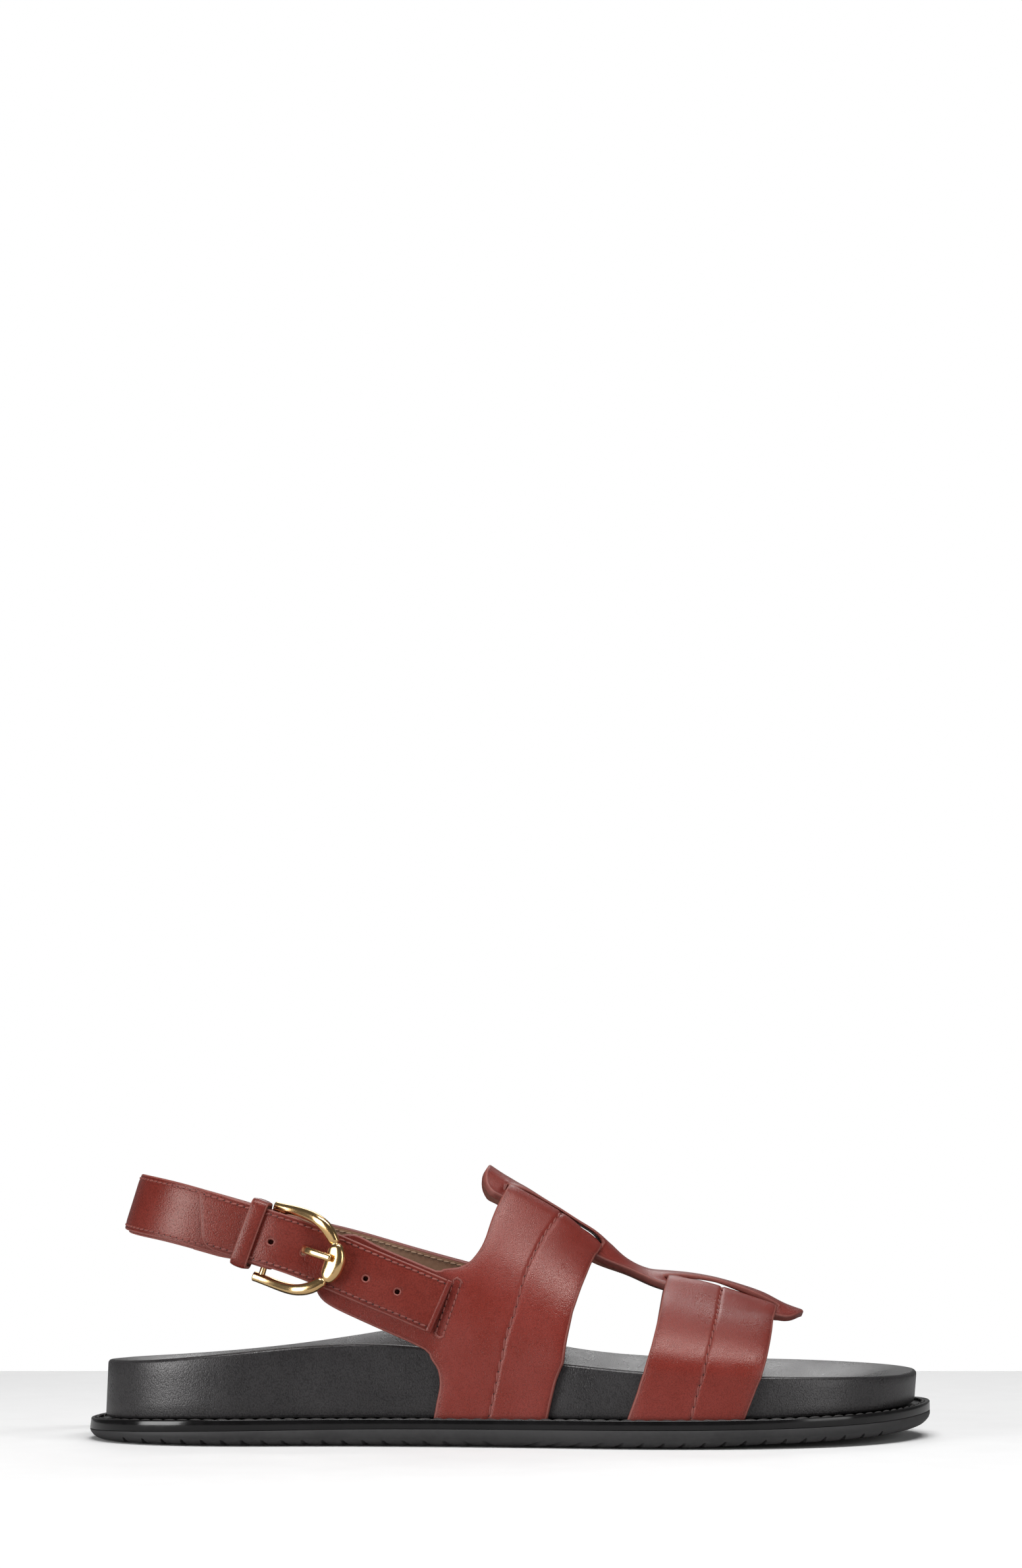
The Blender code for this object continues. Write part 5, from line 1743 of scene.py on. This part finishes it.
def buckle_strap_frame(distance):
    """Inner face's centre, up and outwards of the buckle strap at a distance from its slit."""
    run = unit(buckle_line(distance + 0.3) - buckle_line(distance - 0.3))
    tilt = math.radians(np.interp(distance, buckle_knots, [row[3] for row in BUCKLE_STRAP]))
    lean = np.interp(distance, buckle_knots, [row[4] for row in BUCKLE_STRAP])
    up = strap_up(run, tilt, lean)
    return buckle_line(distance), up, unit(np.cross(up, run))


def distance_at_x(x):
    """Distance along the buckle strap at which its centre has this x."""
    return first_reached(lambda along: buckle_line(along)[0] <= x, 0.0, BUCKLE_LENGTH, 30)


# Radius of the corner over the strap's tip.
TIP_UPPER_CORNER = 1.2


def corner_cut(radius, depth):
    """How far a rounded corner falls back where it is this deep."""
    return radius - math.sqrt(max(radius**2 - max(depth, 0.0) ** 2, 0.0))


def tip_short(side, half):
    """How much shorter the strap is at this share of its width, for its slanted, rounded tip."""
    lower = corner_cut(TIP_CORNER, TIP_CORNER - half - side * half)
    upper = corner_cut(TIP_UPPER_CORNER, TIP_UPPER_CORNER - half + side * half)
    return TIP_SLANT * (1 - side) / 2 + lower + upper


# Columns across the strap: distances from its edges, and places beside the holes.
EDGE_STEPS = (0.0, 0.55, 1.3, 2.4)
HOLE_SIDES = (-4.4, 4.2)


def make_buckle_strap():
    """Strap from the slit in the band, through the buckle and keeper to its tip, with its holes."""
    half = BUCKLE_STRAP_WIDTH / 2 - STRAP_MARGIN
    hole = PUNCH_RADIUS
    lines = (-2.4 * hole, -hole, -hole / 3, hole / 3, hole, 2.4 * hole)
    columns = [*(step - half for step in EDGE_STEPS), HOLE_SIDES[0]]
    first_line = len(columns)
    columns += [PUNCH_DROP + line for line in lines]
    columns += [HOLE_SIDES[1], *(half - step for step in EDGE_STEPS[::-1])]
    stations, hole_rows = [], []
    centres = [distance_at_x(x) for x in PUNCH_HOLES[::-1]]
    position = 0.0
    for centre in centres:
        gap = np.linspace(position, centre - 2.4 * hole, 6)[(1 if stations else 0) : -1]
        stations.extend(gap)
        hole_rows.append(len(stations))
        stations.extend(centre + line for line in lines)
        position = stations[-1]
    stations.extend(np.linspace(position, BUCKLE_LENGTH, 16)[1:])
    taper_from = stations[-16]
    rows = []
    for station in stations:
        row = []
        late = max(0.0, (station - taper_from) / (BUCKLE_LENGTH - taper_from))
        for across in columns:
            distance = station - late * tip_short(across / half, half)
            centre, up, _ = buckle_strap_frame(distance)
            row.append(centre + up * across)
        rows.append(row)
    thin = [[thinned(across / half) for across in columns]] * len(rows)
    rows = np.array(rows)
    left_out = set()
    for start, centre in zip(hole_rows, centres):
        middle, up, outward = buckle_strap_frame(centre)
        run = unit(np.cross(outward, up))
        middle = middle + up * PUNCH_DROP
        for i, j in itertools.product(range(1, 5), repeat=2):
            if i in (1, 4) or j in (1, 4):
                angle = math.atan2(lines[j], lines[i])
                spot = middle + (run * math.cos(angle) + up * math.sin(angle)) * (hole + 0.3)
                rows[start + i][first_line + j] = spot
        left_out |= {(start + i, first_line + j) for i in (1, 2, 3) for j in (1, 2, 3)}
    leather_shell(
        "buckle_strap_leather",
        "strap_leather",
        "buckle_strap",
        rows,
        grid_faces(*rows.shape[:2], left_out=left_out),
        BUCKLE_STRAP_WALL,
        (UPPER_LINING, STRAP_LEATHER),
        thin,
        0.45,
        0.3,
    )


# Places across the keeper's band, and its share of thickness there.
KEEPER_SHARES = {-1: 0.85, -0.6: 1.0, 0: 1.05, 0.6: 1.0, 1: 0.85}


def make_keeper():
    """Leather loop round the heel strap and the buckle strap."""
    up = np.array([math.sin(KEEPER_TILT), 0.0, math.cos(KEEPER_TILT)])
    run = unit(np.array([-math.cos(KEEPER_TILT), KEEPER_TURN, math.sin(KEEPER_TILT)]))
    outward = unit(np.cross(run, up))
    depth_half = KEEPER_HALF_DEPTH - KEEPER_WALL / 2
    straight = KEEPER_HALF_HEIGHT - KEEPER_WALL / 2 - KEEPER_CORNER
    loop = []
    for quarter, (out, high) in enumerate(((1, 1), (-1, 1), (-1, -1), (1, -1))):
        for step in range(6):
            angle = math.pi / 2 * (quarter + step / 5)
            depth = out * (depth_half - KEEPER_CORNER) + KEEPER_CORNER * math.cos(angle)
            height = high * straight + KEEPER_CORNER * math.sin(angle)
            loop.append(outward * depth + up * height)
        if quarter % 2 == 1:
            side = quarter - 2
            for share in np.linspace(1, -1, 10)[1:-1] * -side:
                bow = KEEPER_BOW * (1 - share * share)
                loop.append(outward * side * (depth_half + bow) + up * share * straight)
    half = KEEPER_BAND / 2 - 0.4
    centre = np.array(KEEPER_CENTRE)
    points = [centre + point + run * half * s for point in loop for s in KEEPER_SHARES]
    points = np.array(points)
    faces = grid_faces(len(loop), len(KEEPER_SHARES), closed=True)
    if np.sum(point_normals(points, faces) * (points - centre)) < 0:
        faces = [face[::-1] for face in faces]
    leather_shell(
        "keeper_leather",
        "strap_leather",
        "keeper_loop",
        points,
        faces,
        KEEPER_WALL,
        (UPPER_LINING, STRAP_LEATHER),
        [[*KEEPER_SHARES.values()]] * len(loop),
        0.4,
        0.25,
    )


# ---------------------------------------------------------------- buckle


def crossbar_axis():
    return np.array([math.sin(HEEL_STRAP_TILT), 0.0, math.cos(HEEL_STRAP_TILT)])


def crossbar_centre():
    return np.array(EYE) - crossbar_axis() * BUCKLE_DROP


def buckle_axes():
    """Along the buckle towards its knuckle, up across the strap, and outwards."""
    along = unit(np.array(KNUCKLE) - crossbar_centre())
    up = crossbar_axis()
    up = unit(up - (up @ along) * along)
    return along, up, np.cross(along, up)


def buckle_point(along, across, outward):
    axes = buckle_axes()
    return crossbar_centre() + axes[0] * along + axes[1] * across + axes[2] * outward


def make_buckle_frame():
    """Horseshoe with a barrel knuckle, and the crossbar between its arms."""
    upper_arm = np.array(BUCKLE_FRAME)
    lower_arm = upper_arm[-2::-1] * (1, -1, 1, 1, 1)
    upper_arm[:, 1] -= [ARM_DROP * smooth_step((9.0 - row[0]) / 12.0) for row in BUCKLE_FRAME]
    rows = np.vstack([upper_arm, lower_arm])
    knots = chord_knots(rows[:, :2])
    curve = spline(knots, rows[:, :2])
    bow = spline(knots, rows[:, 4])
    width = eased([(k, row[2]) for k, row in zip(knots, rows)], 1)
    depth = eased([(k, row[3]) for k, row in zip(knots, rows)], 1)
    end = knots[-1]
    places = sorted({0.0, 0.12, 0.3, *np.linspace(0.6, end - 0.6, 220), end - 0.3, end - 0.12, end})
    sections = []
    for place in places:
        run = unit(curve(place + 0.05) - curve(place - 0.05))
        aside = np.array([-run[1], run[0]]) * width(place)
        section = []
        for wide, high in round_steps(28, 0.5):
            squarer = (abs(wide) ** 2.7 + abs(high) ** 2.7) ** (1 / 2.7)
            along, across = curve(place) + aside * wide / squarer
            outward = bow(place) + depth(place) * high / squarer
            section.append(buckle_point(along, across, outward))
        sections.append(section)
    section_piece("buckle_horseshoe", sections, GILT, "buckle_metal", "buckle_frame")
    reach = BUCKLE_FRAME[1][1]
    sections = []
    for place in np.linspace(-reach, reach, 40):
        ring = [(CROSSBAR_RADIUS * x, CROSSBAR_RADIUS * y) for x, y in round_steps(20)]
        sections.append([buckle_point(along, place, outward) for along, outward in ring])
    section_piece("buckle_crossbar", sections, GILT, "buckle_metal", "buckle_frame")


def make_buckle_prong():
    """Flat bar hooked round the crossbar, through the strap and out onto the knuckle."""
    rows = []
    for angle in np.radians(np.linspace(*HOOK_TURN, 13)):
        rows.append((HOOK_RADIUS * math.cos(angle), HOOK_RADIUS * math.sin(angle), HOOK_HALF_WALL))
    rows = np.array([*rows, *PRONG])
    knots = chord_knots(rows[:, :2])
    curve = spline(knots, rows[:, :2])
    half_wall = spline(knots, rows[:, 2])
    end = knots[-1]
    places = [*np.linspace(0, end - 0.8, 90), end - 0.5, end - 0.25, end - 0.08, end]
    sections = []
    for place in places:
        run = unit(curve(place + 0.05) - curve(place - 0.05))
        round_off = 1 - max(0.0, (place - end + 0.5) / 0.5) ** 2 * 0.35
        normal = np.array([-run[1], run[0]]) * half_wall(place) * round_off
        section = []
        for x, y in round_steps(16, 0.5):
            square = max(abs(x), abs(y)) ** 0.75
            along, outward = curve(place) + normal * (y / square)
            across = PRONG_ACROSS + x / square * round_off * PRONG_WIDTH / 2
            section.append(buckle_point(along, across, outward))
        sections.append(section)
    section_piece("buckle_prong_bar", sections, GILT, "buckle_metal", "buckle_prong")


# ---------------------------------------------------------------- studio


# The table top: its left, right, near and far ends, and its height.
FLOOR_ENDS = (-1500.0, 1500.0, -700.0, 320.0)
FLOOR_HEIGHT = -0.5
# How bright the room is behind the camera and overhead, for the reflections.
ROOM_LIGHT = (0.08, 0.15)
# Lens in millimetres, place in metres and tilt in degrees.
CAMERA_LENS = 83.69
CAMERA_PLACE = (0.0, -1.150, 0.0929)
CAMERA_TILT = 5.514
# Softboxes: place, aim and size in metres, and power in watts.
SOFTBOXES = {
    "front_softbox": ((0.1, -0.41, 1.2), (0.0, 0.0, 0.04), (1.1, 0.2), 12.5),
    "top_softbox": ((0.4, 0.15, 1.6), (0.0, 0.0, 0.04), (1.6, 1.0), 3.2),
    "side_softbox": ((-0.9, -0.73, 0.27), (0.0, 0.0, 0.03), (0.6, 0.5), 7.0),
    "fill_softbox": ((1.0, -0.68, 0.3), (0.0, 0.0, 0.04), (0.6, 0.6), 2.8),
    "back_softbox": ((0.05, 1.35, 1.1), (0.0, 0.0, 0.0), (0.7, 0.7), 5.0),
}


def make_floor():
    """Pale table top, duller in the shoe's reflections so that dark leather stays deep."""
    finish = finish_plain(
        "studio_floor", (0.90, 0.90, 0.90), (0.92, 0.92, 0.92), 6.0, (0.8, 0.9), 0.0
    )
    maker = Maker(finish.node_tree)
    shader = finish.node_tree.nodes["Principled BSDF"]
    pale = shader.inputs["Base Color"].links[0].from_socket
    mirrored = maker.node("ShaderNodeLightPath").outputs["Is Glossy Ray"]
    dull = maker.blend(mirrored, pale, rgba((0.42, 0.42, 0.42)))
    maker.tree.links.new(dull, shader.inputs["Base Color"])
    left, right, near, far = FLOOR_ENDS
    corners = ((left, near), (right, near), (right, far), (left, far))
    points = [(x, y, FLOOR_HEIGHT) for x, y in corners]
    floor = new_piece("studio_floor", points, [(0, 1, 2, 3)], [finish])


def make_sky():
    """White backdrop, with a dimmer room on the camera's side for the reflections."""
    world = bpy.data.worlds.new("studio")
    bpy.context.scene.world = world
    world.use_nodes = True
    maker = Maker(world.node_tree)
    shader = world.node_tree.nodes["Background"]
    output = world.node_tree.nodes["World Output"]
    direction = maker.node("ShaderNodeTexCoord").outputs["Generated"]
    parts = maker.node("ShaderNodeSeparateXYZ", Vector=direction)
    room = maker.spread(parts.outputs["Y"], 0.55, 0.9, *ROOM_LIGHT)
    maker.tree.links.new(room, shader.inputs["Strength"])
    shader.inputs["Color"].default_value = (1, 1, 1, 1)
    backdrop = maker.node("ShaderNodeBackground", Color=(1, 1, 1, 1), Strength=1.0)
    seen = maker.node("ShaderNodeLightPath").outputs["Is Camera Ray"]
    both = maker.node("ShaderNodeMixShader")
    links = maker.tree.links
    links.new(seen, both.inputs[0])
    links.new(shader.outputs[0], both.inputs[1])
    links.new(backdrop.outputs[0], both.inputs[2])
    links.new(both.outputs[0], output.inputs["Surface"])


def add_softbox(name, place, aim, size, power):
    light = bpy.data.lights.new(name, "AREA")
    light.shape = "RECTANGLE"
    light.size, light.size_y = size
    light.energy = power
    lamp = bpy.data.objects.new(name, light)
    bpy.context.scene.collection.objects.link(lamp)
    back = np.array(place, float) - np.array(aim, float)
    z = unit(back)
    x = unit(np.cross((0.0, 0.0, 1.0), z))
    turn = Matrix(np.column_stack([x, np.cross(z, x), z]).tolist()).to_4x4()
    lamp.matrix_world = Matrix.Translation(place) @ turn


def make_camera():
    data = bpy.data.cameras.new("camera")
    data.sensor_width = 36
    data.lens = CAMERA_LENS
    camera = bpy.data.objects.new("camera", data)
    bpy.context.scene.collection.objects.link(camera)
    camera.location = CAMERA_PLACE
    camera.rotation_euler = (math.radians(90 + CAMERA_TILT), 0.0, 0.0)
    bpy.context.scene.camera = camera


def main():
    make_camera()
    make_outsole()
    make_welt()
    make_footbed()
    make_centre_strip()
    make_instep_band()
    make_forefoot_band()
    make_heel_strap()
    make_buckle_strap()
    make_keeper()
    make_buckle_frame()
    make_buckle_prong()
    stitch_seams()
    stitch_slit_box()
    make_slit_lip()
    stitch_heel_strap()
    stitch_buckle_strap()
    stitch_welt()
    make_floor()
    make_sky()
    for name, settings in SOFTBOXES.items():
        add_softbox(name, *settings)
    bpy.context.scene.view_settings.view_transform = "Standard"


main()
